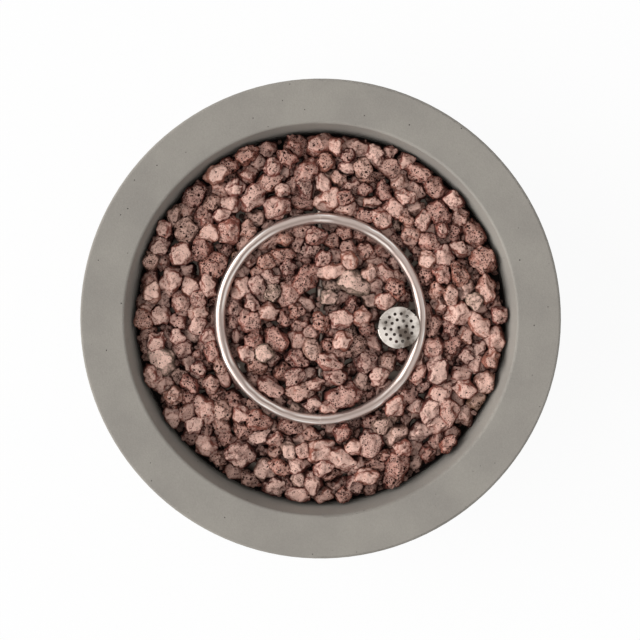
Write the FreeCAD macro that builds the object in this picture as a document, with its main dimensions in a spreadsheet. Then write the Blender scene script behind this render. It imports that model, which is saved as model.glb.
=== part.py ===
"""Propane fire bowl: concrete bowl, stainless ring burner, lava rocks and gas controls.

Millimetres. The origin is on the floor under the middle of the bowl, +Z is up and
the control panel faces -Y. The panel's pieces are drawn in a frame of their own,
which lies on the floor of the panel's pocket with its z pointing out of the bowl.
"""
import FreeCAD
import Part
import math
import os
import random
import Sketcher
from collections import namedtuple
from types import SimpleNamespace
from FreeCAD import Placement, Rotation, Vector

DIMENSIONS = [
    # concrete bowl
    ("bowl_diameter", 914.0),
    ("bowl_height", 381.0),
    ("rim_width", 84.5),
    ("rim_edge", 5.0),
    ("rim_thickness", 26.0),
    ("shell_wall", 20.0),
    ("side_radius", 620.0),
    ("shoulder_height", 150.0),
    ("base_slope", 64.0),
    ("base_thickness", 24.0),
    ("base_opening", 360.0),
    ("lip_depth", 84.0),
    ("lip_draft", 10.0),
    ("lip_wall", 18.0),
    ("ledge_width", 34.0),
    ("ledge_thickness", 20.0),
    # feet
    ("foot_height", 12.0),
    ("foot_diameter", 48.0),
    ("foot_circle", 460.0),
    ("foot_chamfer", 3.0),
    ("foot_counterbore_depth", 7.0),
    # screws, shared sizes
    ("screw_diameter", 4.0),
    ("screw_head_diameter", 8.6),
    ("screw_head_height", 2.6),
    ("screw_socket", 2.4),
    ("screw_socket_depth", 1.4),
    ("screw_clearance", 0.3),
    ("hole_end_gap", 1.0),
    ("foot_screw_length", 18.0),
    ("pan_screw_length", 14.0),
    ("panel_screw_length", 9.0),
    ("hood_screw_length", 9.0),
    ("bonnet_screw_length", 10.0),
    # burner pan
    ("pan_thickness", 2.0),
    ("pan_edge_height", 12.0),
    ("pan_clearance", 2.5),
    ("pan_hole_clearance", 0.5),
    ("drain_diameter", 8.0),
    ("drain_circle", 540.0),
    # ring burner
    ("ring_diameter", 388.0),
    ("ring_tube", 22.0),
    ("ring_wall", 1.5),
    ("ring_depth", 46.0),
    ("port_diameter", 2.5),
    ("port_slope", 45.0),
    ("cross_tube", 19.0),
    ("cross_wall", 1.5),
    ("cross_gap", 1.5),
    ("cross_overhang", 14.0),
    ("cross_cap", 2.0),
    ("riser_diameter", 14.0),
    ("riser_wall", 1.5),
    ("hub_diameter", 34.0),
    ("hub_crown", 2.5),
    ("nipple_diameter", 21.0),
    ("nipple_bore", 14.0),
    ("nipple_length", 42.0),
    ("locknut_width", 32.0),
    ("locknut_height", 8.0),
    ("thread_clearance", 0.1),
    ("post_diameter", 10.0),
    ("post_bearing", 30.0),
    ("post_foot_diameter", 24.0),
    ("post_foot_height", 2.0),
    # air mixer and shutter
    ("mixer_diameter", 34.0),
    ("mixer_top_gap", 6.0),
    ("mixer_shoulder", 16.0),
    ("mixer_chamber_diameter", 27.0),
    ("mixer_chamber_height", 36.0),
    ("mixer_floor", 8.0),
    ("mixer_collar_diameter", 42.0),
    ("mixer_collar_height", 3.0),
    ("air_window_width", 22.0),
    ("air_window_height", 18.0),
    ("shutter_wall", 1.5),
    ("shutter_height", 28.0),
    ("shutter_clearance", 0.4),
    ("shutter_tab_length", 12.0),
    ("shutter_tab_width", 10.0),
    ("shutter_tab_thickness", 2.0),
    ("lock_screw_diameter", 4.0),
    ("lock_screw_head_diameter", 9.0),
    ("lock_screw_head_height", 5.0),
    # orifice and elbow
    ("orifice_diameter", 12.0),
    ("orifice_tip_diameter", 6.0),
    ("orifice_tip_height", 10.0),
    ("orifice_jet", 1.8),
    ("orifice_hex", 15.0),
    ("orifice_hex_height", 6.0),
    ("elbow_diameter", 16.0),
    ("elbow_height", 24.0),
    ("elbow_reach", 26.0),
    ("elbow_arm_diameter", 14.0),
    ("elbow_bore", 8.0),
    ("elbow_inlet_bore", 6.0),
    # gas lines
    ("line_diameter", 10.0),
    ("line_wall", 1.0),
    ("flare_hex", 16.0),
    ("flare_length", 14.0),
    # rear gas inlet
    ("inlet_level", 160.0),
    ("inlet_recess", 10.0),
    ("inlet_recess_diameter", 44.0),
    ("inlet_boss_diameter", 46.0),
    ("inlet_boss_face", 384.0),
    ("inlet_body", 18.0),
    ("inlet_flange_diameter", 34.0),
    ("inlet_flange_thickness", 4.0),
    ("inlet_stud", 15.88),
    ("inlet_stud_length", 16.0),
    ("inlet_tail", 14.0),
    ("inlet_bore", 8.0),
    ("inlet_nut_width", 28.0),
    ("inlet_nut_height", 8.0),
    # control panel
    ("panel_level", 215.0),
    ("panel_recess", 12.0),
    ("panel_width", 150.0),
    ("panel_height", 86.0),
    ("panel_thickness", 1.5),
    ("panel_corner", 8.0),
    ("panel_border", 2.0),
    ("panel_screw_inset", 9.0),
    ("window_width", 116.0),
    ("window_height", 58.0),
    # gas valve
    ("valve_offset", 32.0),
    ("valve_width", 36.0),
    ("valve_length", 44.0),
    ("valve_standoff", 12.0),
    ("valve_floor", 12.0),
    ("plug_diameter", 16.0),
    ("plug_clearance", 0.3),
    ("bonnet_diameter", 34.0),
    ("bonnet_thickness", 6.0),
    ("bonnet_shoulder_diameter", 24.0),
    ("bonnet_screw_circle", 25.0),
    ("neck_diameter", 18.0),
    ("neck_length", 5.5),
    ("neck_lip", 2.0),
    ("neck_bore", 13.4),
    ("neck_nut_width", 24.0),
    ("neck_nut_height", 3.0),
    ("stem_diameter", 8.0),
    ("stem_flat", 3.0),
    ("stem_clearance", 0.2),
    ("stem_depth", 20.0),
    ("stem_collar_diameter", 12.4),
    ("stem_collar_height", 2.8),
    ("stem_travel", 4.0),
    ("spring_gap", 0.3),
    ("spring_wall", 1.2),
    ("port_spread", 9.0),
    ("port_drop", 7.0),
    ("sensor_port_rise", 10.0),
    # knob and bezel
    ("knob_diameter", 42.0),
    ("knob_skirt", 10.0),
    ("knob_gap", 4.7),
    ("knob_height", 20.5),
    ("knob_cavity_diameter", 31.0),
    ("knob_cavity_depth", 7.0),
    ("knob_grip_width", 12.0),
    ("knob_edge", 1.5),
    ("knob_boss_diameter", 15.0),
    ("knob_bore_depth", 8.0),
    ("pointer_width", 2.0),
    ("pointer_length", 14.0),
    ("pointer_thickness", 0.6),
    ("bezel_inner", 46.0),
    ("bezel_outer", 60.0),
    ("bezel_height", 2.5),
    ("bezel_chamfer", 1.0),
    # igniter
    ("igniter_offset", 38.0),
    ("barrel_diameter", 21.8),
    ("barrel_length", 60.0),
    ("barrel_flange_diameter", 30.0),
    ("barrel_flange_height", 3.5),
    ("barrel_floor", 3.0),
    ("barrel_clearance", 0.3),
    ("barrel_nut_width", 28.0),
    ("barrel_nut_height", 7.0),
    ("button_diameter", 18.0),
    ("button_clearance", 0.3),
    ("button_rise", 7.0),
    ("button_depth", 9.0),
    ("button_edge", 1.5),
    ("button_travel", 4.0),
    ("battery_diameter", 10.5),
    ("battery_length", 44.5),
    ("battery_clearance", 0.4),
    ("battery_tip_diameter", 3.8),
    ("battery_tip_height", 0.8),
    ("contact_spring_diameter", 8.0),
    ("terminal_width", 6.3),
    ("terminal_thickness", 0.8),
    ("terminal_length", 9.0),
    ("terminal_spread", 8.0),
    # hood with electrode and thermocouple
    ("hood_x", 150.0),
    ("hood_y", -15.5),
    ("hood_diameter", 81.0),
    ("hood_sheet", 1.2),
    ("hood_clearance", 1.2),
    ("hood_edge_height", 4.0),
    ("hood_leg_width", 16.0),
    ("hood_leg_inset", 1.5),
    ("hood_notch", 2.0),
    ("hood_turn", 50.0),
    ("hood_foot_length", 14.0),
    ("hood_hole", 6.2),
    ("hood_outer_circle", 54.0),
    ("hood_inner_circle", 30.6),
    ("base_plate_diameter", 77.0),
    ("base_plate_thickness", 1.5),
    ("sensor_hole", 52.0),
    ("electrode_x", 8.0),
    ("electrode_y", 8.0),
    ("insulator_diameter", 9.0),
    ("insulator_flange_diameter", 13.0),
    ("insulator_flange_height", 4.0),
    ("insulator_above", 18.0),
    ("insulator_below", 18.0),
    ("electrode_diameter", 2.4),
    ("electrode_rise", 15.0),
    ("electrode_bend", 4.0),
    ("spark_gap", 5.0),
    ("sensor_x", -9.0),
    ("sensor_y", -7.0),
    ("sensor_diameter", 6.4),
    ("sensor_collar_diameter", 12.0),
    ("sensor_collar_height", 4.0),
    ("sensor_above", 36.0),
    ("sensor_below", 16.0),
    ("sensor_clearance", 0.3),
    ("lead_diameter", 3.5),
    ("sensor_lead_diameter", 3.0),
    ("sensor_nut_width", 9.0),
    ("sensor_nut_length", 10.0),
    # lava rocks
    ("rock_fill", 50.0),
    ("rock_small", 11.0),
    ("rock_large", 26.0),
    ("rock_gap", 0.6),
]

PORTS_PER_HALF = 18
DRAIN_COUNT = 8
FOOT_COUNT = 4
PAN_SCREW_COUNT = 4
HOOD_LEGS = 3
HOOD_OUTER_HOLES = 14
HOOD_INNER_HOLES = 8
ROCK_SECTORS = 6
ROCK_SEED = 36


class Size:
    """A number together with the sheet formula that gives it."""

    def __init__(self, value, formula):
        self.value = float(value)
        self.formula = formula

    def __add__(self, other):
        return mixed(self, "+", other)

    def __radd__(self, other):
        return mixed(other, "+", self)

    def __sub__(self, other):
        return mixed(self, "-", other)

    def __rsub__(self, other):
        return mixed(other, "-", self)

    def __mul__(self, other):
        return mixed(self, "*", other)

    def __rmul__(self, other):
        return mixed(other, "*", self)

    def __truediv__(self, other):
        return mixed(self, "/", other)

    def __rtruediv__(self, other):
        return mixed(other, "/", self)

    def __neg__(self):
        return mixed(0.0, "-", self)

    def __float__(self):
        return self.value


def as_size(number):
    if isinstance(number, Size):
        return number
    return Size(number, "(%r)" % float(number))


def mixed(left, sign, right):
    left = as_size(left)
    right = as_size(right)
    values = {
        "+": left.value + right.value,
        "-": left.value - right.value,
        "*": left.value * right.value,
        "/": left.value / right.value if right.value else 0.0,
    }
    return Size(values[sign], "(%s %s %s)" % (left.formula, sign, right.formula))


def root(size):
    return Size(math.sqrt(size.value), "sqrt(%s)" % size.formula)


def sine(angle):
    angle = as_size(angle)
    return Size(math.sin(math.radians(angle.value)), "sin(%s)" % angle.formula)


def cosine(angle):
    angle = as_size(angle)
    return Size(math.cos(math.radians(angle.value)), "cos(%s)" % angle.formula)


def tangent(angle):
    return sine(angle) / cosine(angle)


doc = FreeCAD.newDocument("FireBowl")
sheet = doc.addObject("Spreadsheet::Sheet", "Dims")
D = SimpleNamespace()
pieces = {}
routes = {}


def add_cell(alias, content):
    row = len(vars(D)) + 1
    sheet.set("A%d" % row, alias)
    sheet.set("B%d" % row, content)
    sheet.setAlias("B%d" % row, alias)


def derive(alias, size):
    """Keeps a worked-out size in the sheet under a name of its own."""
    add_cell(alias, "=" + size.formula.replace("Dims.", ""))
    setattr(D, alias, Size(size.value, "Dims." + alias))


for name, number in DIMENSIONS:
    add_cell(name, "%r" % number)
    setattr(D, name, Size(number, "Dims." + name))


def bind(item, prop, size):
    size = as_size(size)
    setattr(item, prop, size.value)
    item.setExpression(prop, size.formula)


def at(x=0.0, y=0.0, z=0.0, axis=None, angle=0.0):
    turn = Rotation(Vector(*axis), float(angle)) if axis else Rotation()
    return Placement(Vector(float(x), float(y), float(z)), turn)


X_AXIS = (1, 0, 0)
Y_AXIS = (0, 1, 0)
Z_AXIS = (0, 0, 1)
Corner = namedtuple("Corner", "x y bend side", defaults=(None, 1))


def arc_middle(start, end, radius, side):
    """Centre of the arc of less than a half turn from start to end, on their left for side 1."""
    chord = end - start
    middle = (start + end) * 0.5
    rise = math.sqrt(max(radius * radius - chord.Length * chord.Length / 4, 0.0))
    left = Vector(-chord.y, chord.x, 0).normalize()
    return middle + left * (rise * side)


def outline_sketch(body, plane, corners, holes=()):
    """Sketch of one closed outline of lines and arcs, with round holes, every size bound."""
    sketch = body.newObject("Sketcher::SketchObject", body.Name + "_section")
    support = [item for item in body.Origin.OriginFeatures if item.Role == plane][0]
    sketch.AttachmentSupport = [(support, "")]
    sketch.MapMode = "FlatFace"
    spots = [Vector(float(corner.x), float(corner.y), 0) for corner in corners]
    ends = []
    for index, corner in enumerate(corners):
        start = spots[index]
        end = spots[(index + 1) % len(spots)]
        if corner.bend is None:
            sketch.addGeometry(Part.LineSegment(start, end))
            ends.append((1, 2))
            continue
        radius = float(corner.bend)
        centre = arc_middle(start, end, radius, corner.side)
        first, last = (start, end) if corner.side > 0 else (end, start)
        angles = [math.atan2(spot.y - centre.y, spot.x - centre.x) for spot in (first, last)]
        circle = Part.Circle(centre, Vector(0, 0, 1), radius)
        sketch.addGeometry(Part.ArcOfCircle(circle, angles[0], angles[1]))
        ends.append((1, 2) if corner.side > 0 else (2, 1))
    for index, corner in enumerate(corners):
        following = (index + 1) % len(corners)
        sketch.addConstraint(
            Sketcher.Constraint("Coincident", index, ends[index][1], following, ends[following][0]))
        tie(sketch, "DistanceX", index, ends[index][0], corner.x)
        tie(sketch, "DistanceY", index, ends[index][0], corner.y)
        if corner.bend is not None:
            row = sketch.addConstraint(Sketcher.Constraint("Radius", index, float(corner.bend)))
            sketch.setExpression("Constraints[%d]" % row, as_size(corner.bend).formula)
    for x, y, radius in holes:
        centre = Vector(float(x), float(y), 0)
        index = sketch.addGeometry(Part.Circle(centre, Vector(0, 0, 1), float(radius)))
        tie(sketch, "DistanceX", index, 3, x)
        tie(sketch, "DistanceY", index, 3, y)
        row = sketch.addConstraint(Sketcher.Constraint("Radius", index, float(radius)))
        sketch.setExpression("Constraints[%d]" % row, as_size(radius).formula)
    return sketch


def tie(sketch, kind, index, end, size):
    row = sketch.addConstraint(Sketcher.Constraint(kind, index, end, float(size)))
    sketch.setExpression("Constraints[%d]" % row, as_size(size).formula)


def turned(label, corners, place=None):
    """Body of revolution about its own Z, from an outline of (radius, height) corners."""
    body = doc.addObject("PartDesign::Body", label)
    sketch = outline_sketch(body, "XZ_Plane", [Corner(*corner) for corner in corners])
    spin = body.newObject("PartDesign::Revolution", label + "_revolve")
    spin.Profile = sketch
    spin.ReferenceAxis = (sketch, ["V_Axis"])
    spin.Angle = 360.0
    body.Placement = place or Placement()
    return body


def padded(label, corners, thickness, place=None, holes=()):
    """Plate of the given outline, rising from its own XY plane."""
    body = doc.addObject("PartDesign::Body", label)
    sketch = outline_sketch(body, "XY_Plane", [Corner(*corner) for corner in corners], holes)
    pad = body.newObject("PartDesign::Pad", label + "_pad")
    pad.Profile = sketch
    bind(pad, "Length", thickness)
    body.Placement = place or Placement()
    return body


def block(kind, label, place=None, **sizes):
    """Primitive solid with its sizes bound to the sheet."""
    item = doc.addObject("Part::" + kind, label)
    for prop, size in sizes.items():
        bind(item, prop, size)
    item.Placement = place or Placement()
    return item


def rod(label, diameter, length, place=None):
    return block("Cylinder", label, place, Radius=diameter / 2, Height=length)


def brick(label, low, sizes, place=None):
    """Box from its low corner, in the frame of place."""
    frame = place or Placement()
    corner = Placement(frame.multVec(Vector(*[float(value) for value in low])), frame.Rotation)
    return block("Box", label, corner, Length=sizes[0], Width=sizes[1], Height=sizes[2])


def hexagon(label, width, height, place=None):
    item = doc.addObject("Part::Prism", label)
    item.Polygon = 6
    bind(item, "Circumradius", width / (2 * cosine(30.0)))
    bind(item, "Height", height)
    item.Placement = place or Placement()
    return item


def joined(label, *items):
    item = doc.addObject("Part::MultiFuse", label)
    item.Shapes = list(items)
    return item


def cut(label, base, *tools):
    item = doc.addObject("Part::Cut", label)
    item.Base = base
    item.Tool = tools[0] if len(tools) == 1 else joined(label + "_tools", *tools)
    return item


def common(label, first, second):
    item = doc.addObject("Part::Common", label)
    item.Base = first
    item.Tool = second
    return item


def keep(item):
    pieces[item.Label] = item
    return item


def group(label, source, places):
    """Copies of one piece, each in its own place, as one node."""
    doc.recompute()
    shapes = []
    for place in places:
        shape = source.Shape.copy()
        shape.Placement = place.multiply(shape.Placement)
        shapes.append(shape)
    item = doc.addObject("Part::Feature", label)
    item.Shape = Part.makeCompound(shapes)
    return keep(item)


def polar(count, circle, start=0.0, z=0.0):
    """Places on a circle of the given diameter, evenly spaced."""
    spots = []
    for index in range(count):
        angle = math.radians(start + 360.0 * index / count)
        radius = float(circle) / 2
        spots.append(at(radius * math.cos(angle), radius * math.sin(angle), z))
    return spots


def screw(label, length, head_down=False):
    """Round-head screw with its head's seat at z 0 and its shank along -Z."""
    shank = D.screw_diameter / 2
    head = D.screw_head_diameter / 2
    crown = D.screw_head_height
    floor = crown - D.screw_socket_depth
    corners = [
        (0.0, -length), (shank, -length), (shank, 0.0), (head, 0.0), (head, crown * 0.4),
        (head * 0.72, crown), (D.screw_socket / 2, crown), (D.screw_socket / 2, floor), (0.0, floor),
    ]
    place = at(axis=X_AXIS, angle=180.0) if head_down else None
    return turned(label, corners, place)


def bent_route(points):
    """Wire of straight runs with the largest tangent arcs that the runs allow."""
    spots = [Vector(*[float(value) for value in point]) for point in points]
    edges = []
    radii = []
    last = spots[0]
    for before, corner, after in zip(spots, spots[1:], spots[2:]):
        inward = (corner - before).normalize()
        outward = (after - corner).normalize()
        turn = inward.getAngle(outward)
        shorter = min((corner - before).Length, (after - corner).Length)
        trim = 0.45 * shorter
        radii.append(trim / math.tan(turn / 2))
        start = corner - inward * trim
        end = corner + outward * trim
        bisector = (outward - inward).normalize()
        centre = corner + bisector * (radii[-1] / math.cos(turn / 2))
        edges.append(Part.LineSegment(last, start).toShape())
        edges.append(Part.Arc(start, centre - bisector * radii[-1], end).toShape())
        last = end
    edges.append(Part.LineSegment(last, spots[-1]).toShape())
    return Part.Wire(edges), radii


def swept(label, points, diameter):
    """Round bar along a bent route."""
    wire, radii = bent_route(points)
    path = doc.addObject("Part::Feature", label + "_route")
    path.Shape = wire
    section = doc.addObject("Part::Circle", label + "_circle")
    bind(section, "Radius", diameter / 2)
    ahead = Vector(*[float(b) - float(a) for a, b in zip(points[0], points[1])])
    section.Placement = Placement(Vector(*[float(value) for value in points[0]]),
                                  Rotation(Vector(0, 0, 1), ahead))
    bar = doc.addObject("Part::Sweep", label)
    bar.Sections = [section]
    bar.Spine = (path, ["Edge%d" % (index + 1) for index in range(len(wire.Edges))])
    bar.Solid = True
    bar.Frenet = False
    routes[label] = (bar, wire.Length, diameter)
    print("%s: length %.0f mm, bends %s" % (label, wire.Length, ["%.0f" % value for value in radii]))
    return bar


def add_levels():
    """Heights and radii that several pieces share."""
    derive("bowl_radius", D.bowl_diameter / 2)
    derive("side_level", D.bowl_height - D.rim_edge)
    derive("shoulder_sine", (D.side_level - D.shoulder_height) / D.side_radius)
    derive("shoulder_cosine", root(1 - D.shoulder_sine * D.shoulder_sine))
    derive("shoulder_radius", D.bowl_radius - D.side_radius * (1 - D.shoulder_cosine))
    derive("belly_radius",
           (D.shoulder_height - D.foot_height) / (sine(D.base_slope) - D.shoulder_sine))
    derive("base_radius",
           D.shoulder_radius - D.belly_radius * (D.shoulder_cosine - cosine(D.base_slope)))
    derive("belly_centre_radius", D.shoulder_radius - D.belly_radius * D.shoulder_cosine)
    derive("belly_centre_level", D.shoulder_height + D.belly_radius * D.shoulder_sine)
    derive("base_top", D.foot_height + D.base_thickness)
    derive("ledge_level", D.bowl_height - D.lip_depth)
    derive("lip_top_radius", D.bowl_radius - D.rim_width + D.rim_edge * (1 - cosine(D.lip_draft)))
    derive("lip_top_level", D.bowl_height - D.rim_edge * (1 - sine(D.lip_draft)))
    derive("lip_slope", tangent(D.lip_draft))
    derive("lip_radius", D.lip_top_radius - (D.lip_top_level - D.ledge_level) * D.lip_slope)
    derive("lip_outside", D.lip_radius + D.lip_wall / cosine(D.lip_draft))
    derive("pan_level", D.ledge_level + D.pan_thickness)
    derive("pan_radius", D.lip_radius - D.pan_clearance)
    derive("pan_screw_circle", 2 * D.lip_radius - D.ledge_width)
    derive("ring_level", D.bowl_height - D.ring_depth)
    derive("ring_radius", D.ring_diameter / 2)
    derive("cross_level", D.pan_level + D.cross_gap + D.cross_tube / 2)
    derive("hub_level", D.cross_level + D.cross_tube / 2 + D.hub_crown)
    derive("nipple_level", D.ledge_level - D.nipple_length)
    derive("mixer_top", D.ledge_level - D.locknut_height - D.mixer_top_gap)
    derive("chamber_top", D.nipple_level - D.mixer_shoulder)
    derive("chamber_bottom", D.chamber_top - D.mixer_chamber_height)
    derive("mixer_bottom", D.chamber_bottom - D.mixer_floor)
    derive("collar_top", D.chamber_bottom + D.mixer_collar_height)
    derive("air_window_level", D.collar_top + D.shutter_height / 2)
    derive("elbow_top", D.mixer_bottom - D.orifice_hex_height)
    derive("elbow_level", D.elbow_top - D.elbow_height / 2)
    derive("hood_level",
           D.ring_level + D.ring_tube / 2 + D.hood_clearance + D.hood_edge_height - D.hood_sheet)
    derive("plate_level", D.pan_level + D.base_plate_thickness)
    derive("panel_sine", (D.side_level - D.panel_level) / D.side_radius)
    derive("panel_cosine", root(1 - D.panel_sine * D.panel_sine))
    derive("panel_floor_y",
           D.bowl_radius - D.side_radius * (1 - D.panel_cosine) - D.panel_recess * D.panel_cosine)
    derive("panel_floor_level", D.panel_level + D.panel_recess * D.panel_sine)
    derive("inlet_sine", (D.side_level - D.inlet_level) / D.side_radius)
    derive("inlet_face",
           D.bowl_radius - D.side_radius * (1 - root(1 - D.inlet_sine * D.inlet_sine)) - D.inlet_recess)
    derive("valve_front", D.valve_standoff)
    derive("valve_rear", D.valve_standoff + D.valve_length)
    derive("plug_front", D.valve_standoff + D.plug_clearance)
    derive("plug_rear", D.valve_rear - D.valve_floor)
    derive("collar_front", D.neck_length - D.neck_lip - D.spring_gap)
    derive("knob_back", D.panel_thickness + D.knob_gap)
    derive("stem_tip", D.knob_back + D.knob_cavity_depth + D.knob_bore_depth)
    derive("inlet_tail_face", D.inlet_boss_face - D.inlet_nut_height - D.inlet_tail)
    derive("barrel_front", D.panel_thickness + D.barrel_flange_height)
    derive("button_rear", D.barrel_front - D.button_depth)
    derive("button_stop", D.button_rear - D.button_travel - D.button_clearance)
    derive("battery_rear", D.barrel_floor - D.barrel_length + D.battery_clearance / 2)
    derive("battery_front", D.battery_rear + D.battery_length)


add_levels()
doc.recompute()

TILT = 90.0 + math.degrees(math.asin(D.panel_sine.value))
PANEL = at(0, -D.panel_floor_y, D.panel_floor_level, X_AXIS, TILT)
VALVE = PANEL.multiply(at(-D.valve_offset))
IGNITER = PANEL.multiply(at(D.igniter_offset))
HOOD = at(D.hood_x, D.hood_y)
INLET = at(0, 0, D.inlet_level, X_AXIS, -90.0)


def panel_spots():
    x = float(D.panel_width / 2 - D.panel_screw_inset)
    y = float(D.panel_height / 2 - D.panel_screw_inset)
    return [at(i * x, j * y) for i in (-1, 1) for j in (-1, 1)]


def holes_for(name, places, length, angle=0.0):
    """Blind screw holes, a little wider and deeper than the screws."""
    depth = length + D.hole_end_gap
    drills = []
    for index, place in enumerate(places):
        drill = rod("%s_%d" % (name, index), D.screw_diameter + D.screw_clearance, depth)
        flip = at(axis=X_AXIS, angle=180.0 + angle)
        drill.Placement = place.multiply(flip)
        drills.append(drill)
    return drills


def foot_spots(z=0.0):
    return polar(FOOT_COUNT, D.foot_circle, 45.0, z)


def make_bowl():
    slope = D.lip_slope
    inner_side = D.side_radius - D.shell_wall
    inner_belly = D.belly_radius - D.shell_wall
    drop = D.rim_thickness - D.rim_edge
    rise = D.belly_centre_level - D.base_top
    rim_under = D.bowl_height - D.rim_thickness
    edge_in = D.bowl_radius - D.rim_width + D.rim_edge
    section = [
        (D.base_opening / 2, D.foot_height),
        (D.base_radius, D.foot_height, D.belly_radius),
        (D.shoulder_radius, D.shoulder_height, D.side_radius),
        (D.bowl_radius, D.side_level, D.rim_edge),
        (D.bowl_radius - D.rim_edge, D.bowl_height),
        (edge_in, D.bowl_height, D.rim_edge),
        (D.lip_top_radius, D.lip_top_level),
        (D.lip_radius, D.ledge_level),
        (D.lip_radius - D.ledge_width, D.ledge_level),
        (D.lip_radius - D.ledge_width, D.ledge_level - D.ledge_thickness),
        (D.lip_outside - D.ledge_thickness * slope, D.ledge_level - D.ledge_thickness),
        (D.lip_outside + (D.lip_depth - D.rim_thickness) * slope, rim_under),
        (D.bowl_radius - D.side_radius + root(inner_side * inner_side - drop * drop), rim_under,
         inner_side, -1),
        (D.shoulder_radius - D.shell_wall * D.shoulder_cosine,
         D.shoulder_height + D.shell_wall * D.shoulder_sine, inner_belly, -1),
        (D.belly_centre_radius + root(inner_belly * inner_belly - rise * rise), D.base_top),
        (D.base_opening / 2, D.base_top),
    ]
    shell = turned("bowl_shell", section)
    boss = rod("inlet_boss", D.inlet_boss_diameter, D.inlet_face - D.inlet_boss_face,
               INLET.multiply(at(0, 0, D.inlet_boss_face)))
    blank = joined("bowl_blank", shell, boss)
    border = 2 * D.panel_border
    outward = 2 * D.panel_recess + D.rim_width
    pocket = brick("panel_pocket", (-(D.panel_width + border) / 2, -(D.panel_height + border) / 2, 0),
                   (D.panel_width + border, D.panel_height + border, outward), PANEL)
    inward = 3 * D.shell_wall
    window = brick("panel_window", (-D.window_width / 2, -D.window_height / 2, -inward),
                   (D.window_width, D.window_height, inward + 1), PANEL)
    recess = rod("inlet_recess", D.inlet_recess_diameter, D.rim_width,
                 INLET.multiply(at(0, 0, D.inlet_face)))
    passage = rod("inlet_passage", D.inlet_body + D.screw_clearance, D.bowl_radius,
                  INLET.multiply(at(0, 0, D.inlet_boss_face - D.shell_wall)))
    tools = [pocket, window, recess, passage]
    tools += holes_for("panel_drill", [PANEL.multiply(spot) for spot in panel_spots()],
                       D.panel_screw_length - D.panel_thickness)
    tools += holes_for("pan_drill", polar(PAN_SCREW_COUNT, D.pan_screw_circle, 45.0, D.ledge_level),
                       D.pan_screw_length - D.pan_thickness)
    tools += holes_for("foot_drill", foot_spots(D.foot_height),
                       D.foot_screw_length - D.foot_height + D.foot_counterbore_depth, 180.0)
    keep(cut("concrete_bowl", blank, *tools))


def make_feet():
    half = D.foot_diameter / 2
    bore = D.screw_diameter / 2 + D.screw_clearance / 2
    well = D.screw_head_diameter / 2 + D.screw_clearance
    pad = turned("foot_pad", [
        (bore, D.foot_counterbore_depth), (well, D.foot_counterbore_depth), (well, 0.0),
        (half - D.foot_chamfer, 0.0), (half, D.foot_chamfer), (half, D.foot_height), (bore, D.foot_height),
    ])
    group("foot_pads", pad, foot_spots())
    group("foot_screws", screw("foot_screw", D.foot_screw_length, True),
          foot_spots(D.foot_counterbore_depth))


def make_pan():
    wall = D.pan_thickness / cosine(D.lip_draft)
    edge = D.pan_radius + D.pan_edge_height * D.lip_slope
    centre = D.nipple_diameter / 2 + D.pan_hole_clearance
    sheet_metal = turned("pan_sheet", [
        (centre, D.ledge_level), (D.pan_radius, D.ledge_level),
        (edge, D.ledge_level + D.pan_edge_height), (edge - wall, D.ledge_level + D.pan_edge_height),
        (D.pan_radius - wall + D.pan_thickness * D.lip_slope, D.pan_level), (centre, D.pan_level),
    ])
    below = at(0, 0, D.ledge_level - D.pan_thickness)
    through = 3 * D.pan_thickness
    tools = [rod("sensor_opening", D.sensor_hole, through, HOOD.multiply(below))]
    for index, spot in enumerate(polar(DRAIN_COUNT, D.drain_circle, 22.5)):
        tools.append(rod("drain_%d" % index, D.drain_diameter, through, spot.multiply(below)))
    spots = polar(PAN_SCREW_COUNT, D.pan_screw_circle, 45.0)
    spots += [HOOD.multiply(spot) for spot in hood_foot_spots()]
    for index, spot in enumerate(spots):
        tools.append(rod("pan_screw_hole_%d" % index, D.screw_diameter + D.screw_clearance, through,
                         spot.multiply(below)))
    keep(cut("burner_pan", sheet_metal, *tools))
    group("pan_screws", screw("pan_screw", D.pan_screw_length),
          polar(PAN_SCREW_COUNT, D.pan_screw_circle, 45.0, D.pan_level))


def ring_bar(label, diameter, place, sweep=360.0):
    ring = block("Torus", label, place, Radius1=D.ring_radius, Radius2=diameter / 2)
    ring.Angle3 = sweep
    return ring


def make_ring():
    """Two half rings that meet at the front and the rear, over the risers."""
    for label, turn in (("burner_ring_right", -90.0), ("burner_ring_left", 90.0)):
        place = at(0, 0, D.ring_level, Z_AXIS, turn)
        bar = ring_bar(label + "_bar", D.ring_tube, place, 180.0)
        bore = ring_bar(label + "_bore", D.ring_tube - 2 * D.ring_wall, place, 180.0)
        tools = [bore]
        for index in range(PORTS_PER_HALF):
            bearing = turn + 180.0 * (index + 0.5) / PORTS_PER_HALF
            drill = rod("%s_port_%d" % (label, index), D.port_diameter, D.ring_tube)
            lean = at(0, 0, 0, Y_AXIS, -90.0 - D.port_slope.value)
            stand = at(0, 0, D.ring_level, Z_AXIS, bearing).multiply(at(D.ring_radius))
            drill.Placement = stand.multiply(lean)
            tools.append(drill)
        for index, side in enumerate((-1, 1)):
            inlet = rod("%s_feed_%d" % (label, index), D.riser_diameter - 2 * D.riser_wall, D.ring_tube,
                        at(0, side * D.ring_radius, D.ring_level - D.ring_tube))
            tools.append(inlet)
        keep(cut(label, bar, *tools))


def cross_bar(label, diameter, trim):
    reach = D.ring_diameter + 2 * D.cross_overhang - 2 * trim
    return rod(label, diameter, reach, at(0, reach / 2, D.cross_level, X_AXIS, 90.0))


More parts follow.
